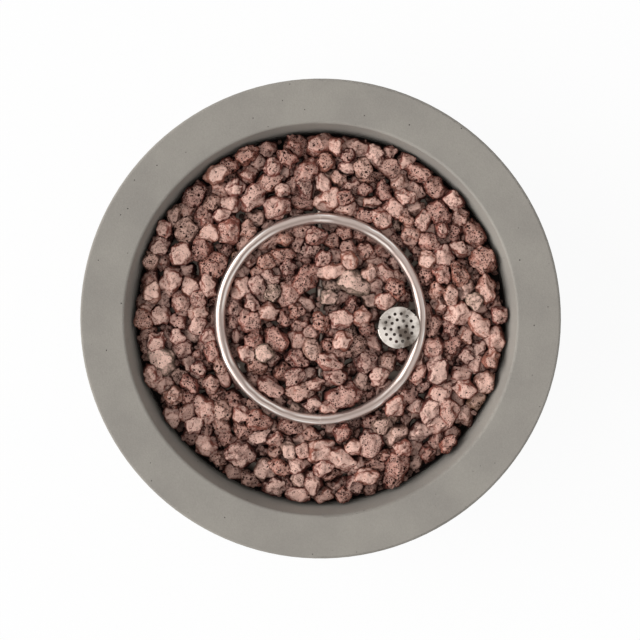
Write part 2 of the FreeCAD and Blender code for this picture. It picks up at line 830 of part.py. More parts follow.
def make_burner_feed():
    bar = cross_bar("cross_bar", D.cross_tube, as_size(0.0))
    bore = cross_bar("cross_bore", D.cross_tube - 2 * D.cross_wall, D.cross_cap)
    feed = rod("cross_feed", D.nipple_bore, D.cross_tube, at(0, 0, D.cross_level - D.cross_tube))
    tools = [bore, feed]
    risers = []
    passage = D.riser_diameter - 2 * D.riser_wall
    for index, side in enumerate((-1, 1)):
        spot = at(0, side * D.ring_radius, D.cross_level)
        rise = D.ring_level - D.cross_level
        tools.append(rod("cross_outlet_%d" % index, passage, D.cross_tube, spot))
        outside = rod("riser_outside_%d" % index, D.riser_diameter, rise, spot)
        inside = rod("riser_inside_%d" % index, passage, rise, spot)
        risers.append(cut("riser_tube_%d" % index, outside, inside))
    keep(cut("burner_cross_tube", bar, *tools))
    ring = ring_bar("riser_ring_trim", D.ring_tube, at(0, 0, D.ring_level))
    trim = cross_bar("riser_cross_trim", D.cross_tube, as_size(0.0))
    keep(cut("burner_risers", joined("riser_pair", *risers), ring, trim))
    block_ = rod("hub_block", D.hub_diameter, D.hub_level - D.pan_level, at(0, 0, D.pan_level))
    nipple = rod("hub_nipple", D.nipple_diameter, D.pan_level - D.nipple_level + 1,
                 at(0, 0, D.nipple_level))
    bore = rod("hub_bore", D.nipple_bore, D.cross_level - D.nipple_level, at(0, 0, D.nipple_level))
    tunnel = cross_bar("hub_tunnel", D.cross_tube + D.thread_clearance, as_size(0.0))
    keep(cut("burner_hub", joined("hub_blank", block_, nipple), bore, tunnel))
    nut_place = at(0, 0, D.ledge_level - D.locknut_height)
    thread = D.nipple_diameter + 2 * D.thread_clearance
    keep(cut("hub_locknut", hexagon("locknut_hex", D.locknut_width, D.locknut_height, nut_place),
             rod("locknut_thread", thread, D.locknut_height, nut_place)))
    stem = rod("post_stem", D.post_diameter, D.ring_level - D.pan_level, at(0, 0, D.pan_level))
    foot = rod("post_foot", D.post_foot_diameter, D.post_foot_height, at(0, 0, D.pan_level))
    blank = joined("post_blank", stem, foot)
    blank.Placement = at(D.ring_radius)
    post = cut("ring_post", blank, ring_bar("post_trim", D.ring_tube, at(0, 0, D.ring_level)))
    group("ring_posts", post, [at(axis=Z_AXIS, angle=bearing) for bearing in post_bearings()])


def post_bearings():
    return [D.post_bearing.value, D.post_bearing.value + 180.0]


def make_mixer():
    half = D.mixer_diameter / 2
    socket = D.nipple_diameter / 2 + D.thread_clearance
    throat = D.nipple_bore / 2
    chamber = D.mixer_chamber_diameter / 2
    seat = D.orifice_diameter / 2 + D.thread_clearance
    collar = D.mixer_collar_diameter / 2
    body = turned("mixer_body", [
        (seat, D.mixer_bottom), (half, D.mixer_bottom), (half, D.chamber_bottom),
        (collar, D.chamber_bottom), (collar, D.collar_top), (half, D.collar_top),
        (half, D.mixer_top), (socket, D.mixer_top), (socket, D.nipple_level), (throat, D.nipple_level),
        (throat, D.chamber_top), (chamber, D.chamber_top), (chamber, D.chamber_bottom),
        (seat, D.chamber_bottom),
    ])
    low = D.air_window_level - D.air_window_height / 2
    window = brick("mixer_window", (-D.mixer_diameter, -D.air_window_width / 2, low),
                   (2 * D.mixer_diameter, D.air_window_width, D.air_window_height))
    keep(cut("air_mixer", body, window))
    inner = half + D.shutter_clearance
    outer = inner + D.shutter_wall
    bottom = D.collar_top + D.shutter_clearance
    top = D.collar_top + D.shutter_height - D.shutter_clearance
    sleeve = turned("shutter_sleeve", [(inner, bottom), (outer, bottom), (outer, top), (inner, top)])
    tab = brick("shutter_tab",
                (-D.shutter_tab_width / 2, inner + D.shutter_wall / 2, top - D.shutter_tab_thickness),
                (D.shutter_tab_width, D.shutter_wall / 2 + D.shutter_tab_length, D.shutter_tab_thickness))
    opening = brick("shutter_window", (-D.mixer_diameter, -D.air_window_width / 2, low),
                    (2 * D.mixer_diameter, D.air_window_width, D.air_window_height))
    side = at(0, -inner, D.air_window_level, X_AXIS, 90.0)
    hole = rod("shutter_screw_hole", D.lock_screw_diameter + 2 * D.thread_clearance, D.mixer_diameter, side)
    keep(cut("air_shutter", joined("shutter_blank", sleeve, tab), opening, hole))
    shank = D.lock_screw_diameter / 2
    head = D.lock_screw_head_diameter / 2
    crown = D.shutter_wall + D.lock_screw_head_height
    lift = D.shutter_wall + D.lock_screw_head_diameter * 0.1
    keep(turned("shutter_lock_screw", [
        (0.0, 0.0), (shank, 0.0), (shank, lift), (head, lift), (head, crown - 1), (head - 1, crown),
        (0.0, crown),
    ], side))


def make_orifice():
    thread = D.orifice_diameter / 2
    tip = D.orifice_tip_diameter / 2
    jet = D.orifice_jet / 2
    bore = D.elbow_bore / 2
    stem = turned("orifice_stem", [
        (bore, D.elbow_top), (thread, D.elbow_top), (thread, D.chamber_bottom),
        (tip, D.chamber_bottom + D.orifice_tip_height), (jet, D.chamber_bottom + D.orifice_tip_height),
        (jet, D.chamber_bottom), (bore, D.mixer_bottom),
    ])
    place = at(0, 0, D.elbow_top)
    hexagon_ = cut("orifice_hex_ring", hexagon("orifice_hex", D.orifice_hex, D.orifice_hex_height, place),
                   rod("orifice_hex_bore", D.elbow_bore, D.orifice_hex_height, place))
    keep(joined("gas_orifice", stem, hexagon_))
    upright = rod("elbow_upright", D.elbow_diameter, D.elbow_height, at(0, 0, D.elbow_top - D.elbow_height))
    inlet_place = at(0, 0, D.elbow_level, X_AXIS, 90.0)
    arm = rod("elbow_arm", D.elbow_arm_diameter, D.elbow_reach, inlet_place)
    drill = D.elbow_height / 2 + D.elbow_bore / 2
    riser = rod("elbow_riser", D.elbow_bore, drill, at(0, 0, D.elbow_top - drill))
    inlet = rod("elbow_inlet", D.elbow_inlet_bore, D.elbow_reach, inlet_place)
    keep(cut("orifice_elbow", joined("elbow_blank", upright, arm), riser, inlet))


def make_inlet():
    half = D.inlet_body / 2
    flange = D.inlet_flange_diameter / 2
    outside = D.inlet_face + D.inlet_flange_thickness
    tip = outside + D.inlet_stud_length
    stud = D.inlet_stud / 2
    tail = D.inlet_tail_face
    bore = D.inlet_bore / 2
    keep(turned("gas_inlet_fitting", [
        (bore, tail), (half, tail), (half, D.inlet_face), (flange, D.inlet_face), (flange, outside),
        (stud, outside), (stud, tip - 1), (stud - 1, tip), (bore, tip),
    ], INLET))
    place = INLET.multiply(at(0, 0, D.inlet_boss_face - D.inlet_nut_height))
    keep(cut("inlet_locknut", hexagon("inlet_nut_hex", D.inlet_nut_width, D.inlet_nut_height, place),
             rod("inlet_nut_thread", D.inlet_body + 2 * D.thread_clearance, D.inlet_nut_height, place)))


def rounded_plate(width, height, corner):
    x = width / 2
    y = height / 2
    return [
        (-x + corner, -y), (x - corner, -y, corner), (x, -y + corner), (x, y - corner, corner),
        (x - corner, y), (-x + corner, y, corner), (-x, y - corner), (-x, -y + corner, corner),
    ]


def make_panel():
    x = D.panel_width / 2 - D.panel_screw_inset
    y = D.panel_height / 2 - D.panel_screw_inset
    drill = (D.screw_diameter + D.screw_clearance) / 2
    holes = [(i * x, j * y, drill) for i in (-1, 1) for j in (-1, 1)]
    holes.append((-D.valve_offset, as_size(0.0), D.neck_diameter / 2 + D.barrel_clearance))
    holes.append((D.igniter_offset, as_size(0.0), D.barrel_diameter / 2 + D.barrel_clearance))
    keep(padded("control_panel", rounded_plate(D.panel_width, D.panel_height, D.panel_corner),
                D.panel_thickness, PANEL, holes))
    front = PANEL.multiply(at(0, 0, D.panel_thickness))
    group("panel_screws", screw("panel_screw", D.panel_screw_length),
          [front.multiply(spot) for spot in panel_spots()])
    inner = D.bezel_inner / 2
    outer = D.bezel_outer / 2
    top = D.panel_thickness + D.bezel_height
    keep(turned("knob_bezel", [
        (inner, D.panel_thickness), (outer, D.panel_thickness), (outer, top - D.bezel_chamfer),
        (outer - D.bezel_chamfer, top), (inner, top),
    ], VALVE))


def d_shaft(label, diameter, low, high, flat, place):
    """Round bar with one flat side, its flat at the given distance from the axis."""
    bar = rod(label + "_round", diameter, high - low, place.multiply(at(0, 0, low)))
    side = brick(label + "_flat", (-diameter, flat, low), (2 * diameter, diameter, high - low), place)
    return cut(label, bar, side)


def make_valve():
    w = D.valve_width
    housing = brick("valve_block", (-w / 2, -w / 2, -D.valve_rear), (w, w, D.valve_length), VALVE)
    bore = D.plug_diameter + 2 * D.plug_clearance
    depth = D.plug_rear + D.plug_clearance - D.valve_front
    tools = [rod("valve_bore", bore, depth, VALVE.multiply(at(0, 0, -D.plug_rear - D.plug_clearance)))]
    for name, x, y, size in valve_ports():
        tools.append(rod("valve_%s_bore" % name, size, D.valve_floor,
                         VALVE.multiply(at(x, y, -D.valve_rear))))
    tools += holes_for("bonnet_drill", bonnet_spots(-D.valve_front),
                       D.bonnet_screw_length - D.bonnet_thickness)
    keep(cut("valve_body", housing, *tools))
    flange = D.bonnet_diameter / 2
    shoulder = D.bonnet_shoulder_diameter / 2
    neck = D.neck_diameter / 2
    inside = D.neck_bore / 2
    lip = D.stem_diameter / 2 + 2 * D.stem_clearance
    seat = D.bonnet_thickness - D.valve_front
    bonnet = turned("bonnet_blank", [
        (inside, -D.valve_front), (flange, -D.valve_front), (flange, seat), (shoulder, seat),
        (shoulder, 0.0), (neck, 0.0), (neck, D.neck_length), (lip, D.neck_length),
        (lip, D.neck_length - D.neck_lip), (inside, D.neck_length - D.neck_lip),
    ], VALVE)
    holes = []
    for index, spot in enumerate(bonnet_spots(-D.valve_front)):
        holes.append(rod("bonnet_hole_%d" % index, D.screw_diameter + D.screw_clearance,
                         D.bonnet_thickness, spot))
        holes.append(rod("bonnet_seat_%d" % index, D.screw_head_diameter + 2 * D.screw_clearance,
                         D.valve_front, spot.multiply(at(0, 0, D.bonnet_thickness))))
    keep(cut("valve_bonnet", bonnet, *holes))
    group("bonnet_screws", screw("bonnet_screw", D.bonnet_screw_length),
          bonnet_spots(D.bonnet_thickness - D.valve_front))
    nut_place = VALVE.multiply(at(0, 0, D.panel_thickness))
    keep(cut("valve_panel_nut", hexagon("neck_nut_hex", D.neck_nut_width, D.neck_nut_height, nut_place),
             rod("neck_nut_thread", D.neck_diameter + 2 * D.thread_clearance, D.neck_nut_height,
                 nut_place)))
    plug = rod("plug_bar", D.plug_diameter, D.plug_rear - D.plug_front,
               VALVE.multiply(at(0, 0, -D.plug_rear)))
    slack = D.stem_clearance
    depth = D.plug_front + D.stem_depth + D.stem_travel + slack
    socket = d_shaft("plug_socket", D.stem_diameter + 2 * slack, -depth, -D.plug_front + 1,
                     D.stem_flat + slack, VALVE)
    keep(cut("valve_plug", plug, socket))
    rear = -D.plug_front - D.stem_depth
    shaft = d_shaft("stem_shaft", D.stem_diameter, rear, D.stem_tip, D.stem_flat, VALVE)
    collar = rod("stem_collar", D.stem_collar_diameter, D.stem_collar_height,
                 VALVE.multiply(at(0, 0, D.collar_front - D.stem_collar_height)))
    keep(joined("valve_stem", shaft, collar))
    low = D.spring_gap - D.plug_front
    high = D.collar_front - D.stem_collar_height - D.stem_travel - D.spring_gap
    inner = D.stem_diameter / 2 + D.stem_clearance
    outer = inner + D.spring_wall
    keep(turned("stem_spring", [(inner, low), (outer, low), (outer, high), (inner, high)], VALVE))


def bonnet_spots(z):
    spots = polar(4, D.bonnet_screw_circle, 45.0, z)
    return [VALVE.multiply(spot) for spot in spots[::2]]


def valve_ports():
    """Name, local x, local y and bore of the ports in the rear of the valve."""
    return [
        ("inlet", -D.port_spread, -D.port_drop, D.line_diameter - 2 * D.line_wall),
        ("outlet", D.port_spread, -D.port_drop, D.line_diameter - 2 * D.line_wall),
        ("sensor", as_size(0.0), D.sensor_port_rise, D.sensor_lead_diameter),
    ]


def make_knob():
    half = D.knob_diameter / 2
    back = D.knob_back
    top = back + D.knob_height
    skirt = back + D.knob_skirt
    cavity = D.knob_cavity_diameter / 2
    floor = back + D.knob_cavity_depth
    disc = turned("knob_disc", [
        (0.0, floor), (cavity, floor), (cavity, back), (half, back), (half, skirt - D.knob_edge),
        (half - D.knob_edge, skirt), (0.0, skirt),
    ], VALVE)
    bar = brick("knob_bar", (-D.knob_grip_width / 2, -D.knob_diameter, skirt - 1),
                (D.knob_grip_width, 2 * D.knob_diameter, top - skirt + 1), VALVE)
    reach = half - D.knob_edge
    trim = turned("knob_trim", [
        (0.0, floor), (reach, floor), (reach, top - 2 * D.knob_edge), (reach - 2 * D.knob_edge, top),
        (0.0, top),
    ], VALVE)
    boss = rod("knob_boss", D.knob_boss_diameter, D.knob_skirt - D.knob_cavity_depth + 1,
               VALVE.multiply(at(0, 0, floor - 1)))
    blank = joined("knob_blank", disc, common("knob_grip", bar, trim), boss)
    bore = d_shaft("knob_bore", D.stem_diameter + D.stem_clearance, back, D.stem_tip + D.stem_clearance,
                   D.stem_flat + D.stem_clearance / 2, VALVE)
    keep(cut("control_knob", blank, bore))
    keep(brick("knob_pointer",
               (-D.pointer_width / 2, reach - 2 * D.knob_edge - D.pointer_length, top),
               (D.pointer_width, D.pointer_length, D.pointer_thickness), VALVE))


def make_igniter():
    barrel = D.barrel_diameter / 2
    flange = D.barrel_flange_diameter / 2
    well = D.button_diameter / 2 + D.button_clearance
    cell = D.battery_diameter / 2 + D.battery_clearance
    rear = -D.barrel_length
    keep(turned("igniter_barrel", [
        (0.0, rear), (barrel, rear), (barrel, D.panel_thickness), (flange, D.panel_thickness),
        (flange, D.barrel_front - 1), (flange - 1, D.barrel_front), (well, D.barrel_front),
        (well, D.button_stop), (cell, D.button_stop), (cell, D.barrel_floor - D.barrel_length),
        (0.0, D.barrel_floor - D.barrel_length),
    ], IGNITER))
    place = IGNITER.multiply(at(0, 0, -D.barrel_nut_height))
    keep(cut("igniter_nut", hexagon("barrel_nut_hex", D.barrel_nut_width, D.barrel_nut_height, place),
             rod("barrel_nut_thread", D.barrel_diameter + 2 * D.thread_clearance, D.barrel_nut_height,
                 place)))
    half = D.button_diameter / 2
    top = D.barrel_front + D.button_rise
    keep(turned("igniter_button", [
        (0.0, D.button_rear), (half, D.button_rear), (half, top - D.button_edge, D.button_edge),
        (half - D.button_edge, top), (0.0, top),
    ], IGNITER))
    can = D.battery_diameter / 2
    tip = D.battery_tip_diameter / 2
    keep(turned("igniter_battery", [
        (0.0, D.battery_rear), (can, D.battery_rear), (can, D.battery_front - D.battery_tip_height),
        (tip, D.battery_front - D.battery_tip_height), (tip, D.battery_front), (0.0, D.battery_front),
    ], IGNITER))
    low = D.battery_front + D.spring_gap
    high = D.button_rear - D.button_travel - D.spring_gap
    outer = D.contact_spring_diameter / 2
    inner = outer - D.spring_wall
    keep(turned("igniter_spring", [(inner, low), (outer, low), (outer, high), (inner, high)], IGNITER))
    blade = brick("terminal_blade",
                  (-D.terminal_width / 2, -D.terminal_thickness / 2, -D.barrel_length - D.terminal_length),
                  (D.terminal_width, D.terminal_thickness, D.terminal_length))
    spots = [IGNITER.multiply(at(0, side * D.terminal_spread.value / 2)) for side in (-1, 1)]
    group("igniter_terminals", blade, spots)


def hood_bearings():
    return [D.hood_turn.value + 360.0 * index / HOOD_LEGS for index in range(HOOD_LEGS)]


def leg_reach():
    return D.hood_diameter / 2 - D.hood_leg_inset


def hood_foot_spots():
    middle = leg_reach() - D.hood_sheet - D.hood_foot_length / 2
    return [at(axis=Z_AXIS, angle=bearing).multiply(at(middle)) for bearing in hood_bearings()]


def make_hood():
    """Perforated cover on three legs, each bent down out of a notch in its edge."""
    half = D.hood_diameter / 2
    top = D.hood_level + D.hood_sheet
    skirt = top - D.hood_edge_height
    cover = turned("hood_cover", [
        (0.0, D.hood_level), (half - 2 * D.hood_sheet, D.hood_level), (half - D.hood_sheet, skirt),
        (half, skirt), (half, top - D.hood_sheet, D.hood_sheet), (half - D.hood_sheet, top), (0.0, top),
    ], HOOD)
    tools = [rod("hood_hole_0", D.hood_hole, D.hood_edge_height, HOOD.multiply(at(0, 0, skirt)))]
    for circle, count, start in ((D.hood_outer_circle, HOOD_OUTER_HOLES, 3.0),
                                 (D.hood_inner_circle, HOOD_INNER_HOLES, 12.0)):
        for spot in polar(count, circle, start, skirt):
            tools.append(rod("hood_hole_%d" % len(tools), D.hood_hole, D.hood_edge_height,
                             HOOD.multiply(spot)))
    legs = []
    reach = leg_reach()
    sheet_ = D.hood_sheet
    width = D.hood_leg_width
    for index, bearing in enumerate(hood_bearings()):
        frame = HOOD.multiply(at(axis=Z_AXIS, angle=bearing))
        notch_width = width + 2 * D.hood_notch
        tools.append(brick("hood_notch_%d" % index, (reach - sheet_ - D.hood_notch / 2, -notch_width / 2, skirt),
                           (half, notch_width, D.hood_edge_height + 1), frame))
        upright = brick("hood_leg_%d" % index, (reach - sheet_, -width / 2, D.plate_level),
                        (sheet_, width, top - D.plate_level), frame)
        foot = brick("hood_foot_%d" % index,
                     (reach - sheet_ - D.hood_foot_length, -width / 2, D.plate_level),
                     (D.hood_foot_length, width, sheet_), frame)
        bridge = brick("hood_bridge_%d" % index,
                       (reach - sheet_ - D.hood_notch, -width / 2, D.hood_level),
                       (sheet_ + D.hood_notch, width, sheet_), frame)
        legs += [upright, foot, bridge]
    plate = cut("hood_plate", cover, *tools)
    drills = []
    for index, spot in enumerate(hood_foot_spots()):
        drills.append(rod("hood_foot_hole_%d" % index, D.screw_diameter + D.screw_clearance, 3 * sheet_,
                          HOOD.multiply(spot).multiply(at(0, 0, D.plate_level - sheet_))))
    keep(cut("igniter_hood", joined("hood_blank", plate, *legs), *drills))
    lift = at(0, 0, D.plate_level + sheet_)
    group("hood_screws", screw("hood_screw", D.hood_screw_length),
          [HOOD.multiply(spot).multiply(lift) for spot in hood_foot_spots()])


def make_sensors():
    base = rod("base_disc", D.base_plate_diameter, D.base_plate_thickness, HOOD.multiply(at(0, 0, D.pan_level)))
    electrode = HOOD.multiply(at(D.electrode_x, D.electrode_y))
    sensor = HOOD.multiply(at(D.sensor_x, D.sensor_y))
    through = 3 * D.base_plate_thickness
    below = at(0, 0, D.pan_level - D.base_plate_thickness)
    tools = [
        rod("insulator_hole", D.insulator_diameter + 2 * D.sensor_clearance, through, electrode.multiply(below)),
        rod("sensor_hole", D.sensor_diameter + 2 * D.sensor_clearance, through, sensor.multiply(below)),
    ]
    for index, spot in enumerate(hood_foot_spots()):
        tools.append(rod("base_screw_hole_%d" % index, D.screw_diameter + D.screw_clearance, through,
                         HOOD.multiply(spot).multiply(below)))
    keep(cut("igniter_base", base, *tools))
    half = D.insulator_diameter / 2
    flange = D.insulator_flange_diameter / 2
    seat = D.plate_level
    top = seat + D.insulator_above
    bore = D.electrode_diameter / 2
    keep(turned("electrode_insulator", [
        (bore, seat - D.insulator_below), (half, seat - D.insulator_below), (half, seat), (flange, seat),
        (flange, seat + D.insulator_flange_height), (half, seat + D.insulator_flange_height),
        (half, top - 2), (half - 1.5, top), (bore, top),
    ], electrode))
    x = float(D.hood_x + D.electrode_x)
    y = float(D.hood_y + D.electrode_y)
    peak = float(top + D.electrode_rise)
    across = math.sqrt(float(D.ring_radius) ** 2 - y * y)
    end = across - float(D.ring_tube / 2 + D.spark_gap)
    bend = float(D.electrode_bend)
    wire = Part.Wire([
        Part.LineSegment(Vector(x, y, float(seat - D.insulator_below)), Vector(x, y, peak - bend)).toShape(),
        Part.Arc(Vector(x, y, peak - bend),
                 Vector(x + bend * (1 - math.sqrt(0.5)), y, peak - bend * (1 - math.sqrt(0.5))),
                 Vector(x + bend, y, peak)).toShape(),
        Part.LineSegment(Vector(x + bend, y, peak), Vector(end, y, peak)).toShape(),
    ])
    path = doc.addObject("Part::Feature", "electrode_route")
    path.Shape = wire
    section = doc.addObject("Part::Circle", "electrode_circle")
    bind(section, "Radius", bore)
    section.Placement = at(x, y, seat - D.insulator_below)
    bar = doc.addObject("Part::Sweep", "electrode_rod")
    bar.Sections = [section]
    bar.Spine = (path, ["Edge1", "Edge2", "Edge3"])
    bar.Solid = True
    routes["electrode_rod"] = (bar, wire.Length, D.electrode_diameter)
    keep(bar)
    half = D.sensor_diameter / 2
    collar = D.sensor_collar_diameter / 2
    low = seat - D.sensor_below
    high = seat + D.sensor_above
    keep(turned("thermocouple_probe", [
        (0.0, low), (half, low), (half, seat), (collar, seat), (collar, seat + D.sensor_collar_height),
        (half, seat + D.sensor_collar_height), (half, high - half, half), (0.0, high),
    ], sensor))


def spot_in(place, x=0.0, y=0.0, z=0.0):
    point = place.multVec(Vector(float(x), float(y), float(z)))
    return (point.x, point.y, point.z)


def tube(label, points):
    outside = swept(label + "_outside", points, D.line_diameter)
    inside = swept(label + "_inside", points, D.line_diameter - 2 * D.line_wall)
    return keep(cut(label, outside, inside))


def flare_nut(label, place, width, length, bore):
    return cut(label, hexagon(label + "_hex", width, length, place),
               rod(label + "_bore", bore + 2 * D.thread_clearance, length, place))


def make_lines():
    """Gas lines and leads, each from its fitting along the way it is laid."""
    ports = {name: (x, y) for name, x, y, _ in valve_ports()}
    rear = -D.valve_rear
    reach = D.flare_length.value * 5
    x, y = ports["outlet"]
    elbow_y = -D.elbow_reach.value
    level = D.elbow_level.value
    tube("burner_gas_line", [
        spot_in(VALVE, x, y, rear), spot_in(VALVE, x, y, rear - reach),
        (-17, -222, 232), (-7, -124, 193), (0, elbow_y - 46, level), (0, elbow_y, level),
    ])
    x, y = ports["inlet"]
    tail = D.inlet_tail_face.value
    tube("supply_line", [
        spot_in(VALVE, x, y, rear), spot_in(VALVE, x, y, rear - reach),
        (-88, -222, 208), (-136, -112, 160), (-146, 14, 132), (-112, 130, 122), (-52, 220, 134),
        (0, tail - 56, D.inlet_level), (0, tail, D.inlet_level),
    ])
    turn = at(axis=X_AXIS, angle=180.0)
    nuts = [
        flare_nut("outlet_nut", VALVE.multiply(at(*ports["outlet"], rear)).multiply(turn),
                  D.flare_hex, D.flare_length, D.line_diameter),
        flare_nut("elbow_nut", at(0, -D.elbow_reach, D.elbow_level, X_AXIS, 90.0),
                  D.flare_hex, D.flare_length, D.line_diameter),
        flare_nut("feed_nut", VALVE.multiply(at(*ports["inlet"], rear)).multiply(turn),
                  D.flare_hex, D.flare_length, D.line_diameter),
        flare_nut("tail_nut", INLET.multiply(at(0, 0, D.inlet_tail_face)).multiply(turn),
                  D.flare_hex, D.flare_length, D.line_diameter),
    ]
    doc.recompute()
    flares = doc.addObject("Part::Feature", "flare_nuts")
    flares.Shape = Part.makeCompound([nut.Shape for nut in nuts])
    keep(flares)
    x, y = ports["sensor"]
    probe = spot_in(HOOD, D.sensor_x, D.sensor_y, D.plate_level - D.sensor_below)
    keep(swept("thermocouple_lead", [
        spot_in(VALVE, x, y, rear), spot_in(VALVE, x, y, rear - 46),
        (-18, -272, 262), (16, -222, 258), (52, -174, 248), (88, -128, 236), (118, -84, 226),
        (137, -44, 226), (probe[0], probe[1], 246), probe,
    ], D.sensor_lead_diameter))
    keep(flare_nut("thermocouple_nut", VALVE.multiply(at(x, y, rear)).multiply(turn),
                   D.sensor_nut_width, D.sensor_nut_length, D.sensor_lead_diameter))
    tail = spot_in(HOOD, D.electrode_x, D.electrode_y, D.plate_level - D.insulator_below)
    start = -D.barrel_length - D.terminal_length
    y = D.terminal_spread / 2
    keep(swept("igniter_lead", [
        spot_in(IGNITER, 0, y, start), spot_in(IGNITER, 0, y, start - 40),
        (58, -274, 262), (82, -226, 258), (108, -180, 250), (132, -134, 240), (150, -90, 230),
        (159, -48, 226), (tail[0], tail[1], 244), tail,
    ], D.lead_diameter))


Post = namedtuple("Post", "x y radius top")
Rock = namedtuple("Rock", "x y z radius")


class RockBed:
    """Loose rocks that lie on the pan, round the burner and the hood, inside the lip."""

    def __init__(self, rng):
        self.rng = rng
        self.floor = float(D.pan_level)
        self.top = self.floor + float(D.rock_fill)
        self.gap = float(D.rock_gap)
        self.ring = (float(D.ring_radius), float(D.ring_level), float(D.ring_tube / 2))
        self.cross = (float(D.cross_level), float(D.cross_tube / 2),
                      float(D.ring_radius + D.cross_overhang))
        self.wall = float(D.pan_radius - D.pan_thickness / cosine(D.lip_draft)) - 0.6
        self.slope = float(D.lip_slope)
        self.posts = self.find_posts()
        self.rocks = []
        self.cells = {}
        self.cell = 2.2 * float(D.rock_large)

    def find_posts(self):
        ring = float(D.ring_radius)
        hub = Post(0.0, 0.0, float(D.hub_diameter / 2), float(D.hub_level))
        hood_top = float(D.hood_level + D.hood_sheet)
        posts = [hub, Post(float(D.hood_x), float(D.hood_y), float(D.hood_diameter / 2) + 1.0, hood_top)]
        for bearing in post_bearings():
            x = ring * math.cos(math.radians(bearing))
            y = ring * math.sin(math.radians(bearing))
            posts.append(Post(x, y, float(D.post_foot_diameter / 2),
                              float(D.pan_level + D.post_foot_height)))
            posts.append(Post(x, y, float(D.post_diameter / 2), float(D.ring_level)))
        for side in (-1, 1):
            posts.append(Post(0.0, side * ring, float(D.riser_diameter / 2), float(D.ring_level)))
        for spot in polar(PAN_SCREW_COUNT, D.pan_screw_circle, 45.0):
            posts.append(Post(spot.Base.x, spot.Base.y, float(D.screw_head_diameter / 2),
                              float(D.pan_level + D.screw_head_height)))
        return posts

    def near(self, x, y):
        column = int(math.floor(x / self.cell))
        row = int(math.floor(y / self.cell))
        for i in range(column - 1, column + 2):
            for j in range(row - 1, row + 2):
                for rock in self.cells.get((i, j), ()):
                    yield rock

    def add(self, rock):
        self.rocks.append(rock)
        key = (int(math.floor(rock.x / self.cell)), int(math.floor(rock.y / self.cell)))
        self.cells.setdefault(key, []).append(rock)

    def rest(self, x, y, radius):
        """Height at which a rock dropped here comes to lie, or None where it can't."""
        z = self.floor + radius
        for post in self.posts:
            away = math.hypot(x - post.x, y - post.y) - post.radius
            if away < radius:
                z = max(z, post.top + math.sqrt(radius ** 2 - max(away, 0.0) ** 2))
        level, half, reach = self.cross
        if abs(y) < reach and abs(x) < radius + half:
            z = max(z, level + math.sqrt((radius + half) ** 2 - x * x))
        for rock in self.near(x, y):
            limit = 0.94 * (radius + rock.radius)
            away = (x - rock.x) ** 2 + (y - rock.y) ** 2
            if away < limit * limit:
                z = max(z, rock.z + math.sqrt(limit * limit - away))
        if z + 0.8 * radius > self.top:
            return None
        flat = math.hypot(x, y)
        if flat + 0.97 * radius > self.wall + (z - self.floor) * self.slope:
            return None
        ring, level, half = self.ring
        if math.hypot(flat - ring, z - level) < half + 0.86 * radius:
            return None
        if z > level - half and abs(flat - ring) < half + 0.25 * radius:
            return None
        return z

    def drop(self, radius, tries):
        """Lets one rock fall at the lowest of some spots and roll further down from there."""
        best = None
        for _ in range(tries):
            flat = self.wall * math.sqrt(self.rng.random())
            bearing = self.rng.uniform(0.0, 2.0 * math.pi)
            x = flat * math.cos(bearing)
            y = flat * math.sin(bearing)
            z = self.rest(x, y, radius)
            if z is not None and (best is None or z < best[2]):
                best = (x, y, z)
        if best is None:
            return False
        step = 0.8 * radius
        while step > 0.4:
            moved = False
            turn = self.rng.uniform(0.0, math.pi)
            for index in range(6):
                angle = turn + index * math.pi / 3
                x = best[0] + step * math.cos(angle)
                y = best[1] + step * math.sin(angle)
                z = self.rest(x, y, radius)
                if z is not None and z < best[2] - 0.02:
                    best = (x, y, z)
                    moved = True
                    break
            if not moved:
                step *= 0.55
        self.add(Rock(best[0], best[1], best[2], radius))
        return True

    def fill(self):
        """Drops rocks of mixed sizes until hardly any more fits below the fill line."""
        small = float(D.rock_small)
        large = float(D.rock_large)
        misses = 0
        while misses < 14:
            radius = small + (large - small) * self.rng.betavariate(1.9, 2.6)
            misses = 0 if self.drop(radius, 26) else misses + 1

    def planes(self, rock):
        """Half spaces that bound one rock: its own facets, then whatever it lies against."""
        centre = (rock.x, rock.y, rock.z)
        for normal, reach in self.facets(rock.radius):
            yield normal, dot(normal, centre) + reach
        for other in self.near(rock.x, rock.y):
            if other is rock:
                continue
            apart = (other.x - rock.x, other.y - rock.y, other.z - rock.z)
            distance = math.sqrt(dot(apart, apart))
            if distance > 1.75 * (rock.radius + other.radius):
                continue
            normal = scaled(apart, 1.0 / distance)
            share = (distance ** 2 + rock.radius ** 2 - other.radius ** 2) / (2.0 * distance)
            yield normal, dot(normal, centre) + share - self.gap / 2
        yield (0.0, 0.0, -1.0), -self.floor - 0.1
        for plane in self.wall_planes(rock):
            yield plane
        for nearest, clear in self.contacts(rock):
            away = (rock.x - nearest[0], rock.y - nearest[1], rock.z - nearest[2])
            distance = math.sqrt(dot(away, away))
            normal = scaled(away, -1.0 / distance)
            yield normal, dot(normal, nearest) - clear

    def facets(self, radius):
        count = self.rng.randint(12, 15)
        turn = random_rotation(self.rng)
        axes = (self.rng.uniform(1.08, 1.34), self.rng.uniform(1.0, 1.18), self.rng.uniform(0.9, 1.05))
        for index in range(count):
            z = 1.0 - 2.0 * (index + 0.5) / count
            flat = math.sqrt(1.0 - z * z)
            bearing = index * 2.399963 + self.rng.uniform(-0.25, 0.25)
            local = (flat * math.cos(bearing), flat * math.sin(bearing), z)
            support = math.sqrt(sum((axis * part) ** 2 for axis, part in zip(axes, local)))
            reach = radius * max(1.0, support * self.rng.uniform(0.92, 1.04))
            yield tuple(dot(row, local) for row in turn), reach

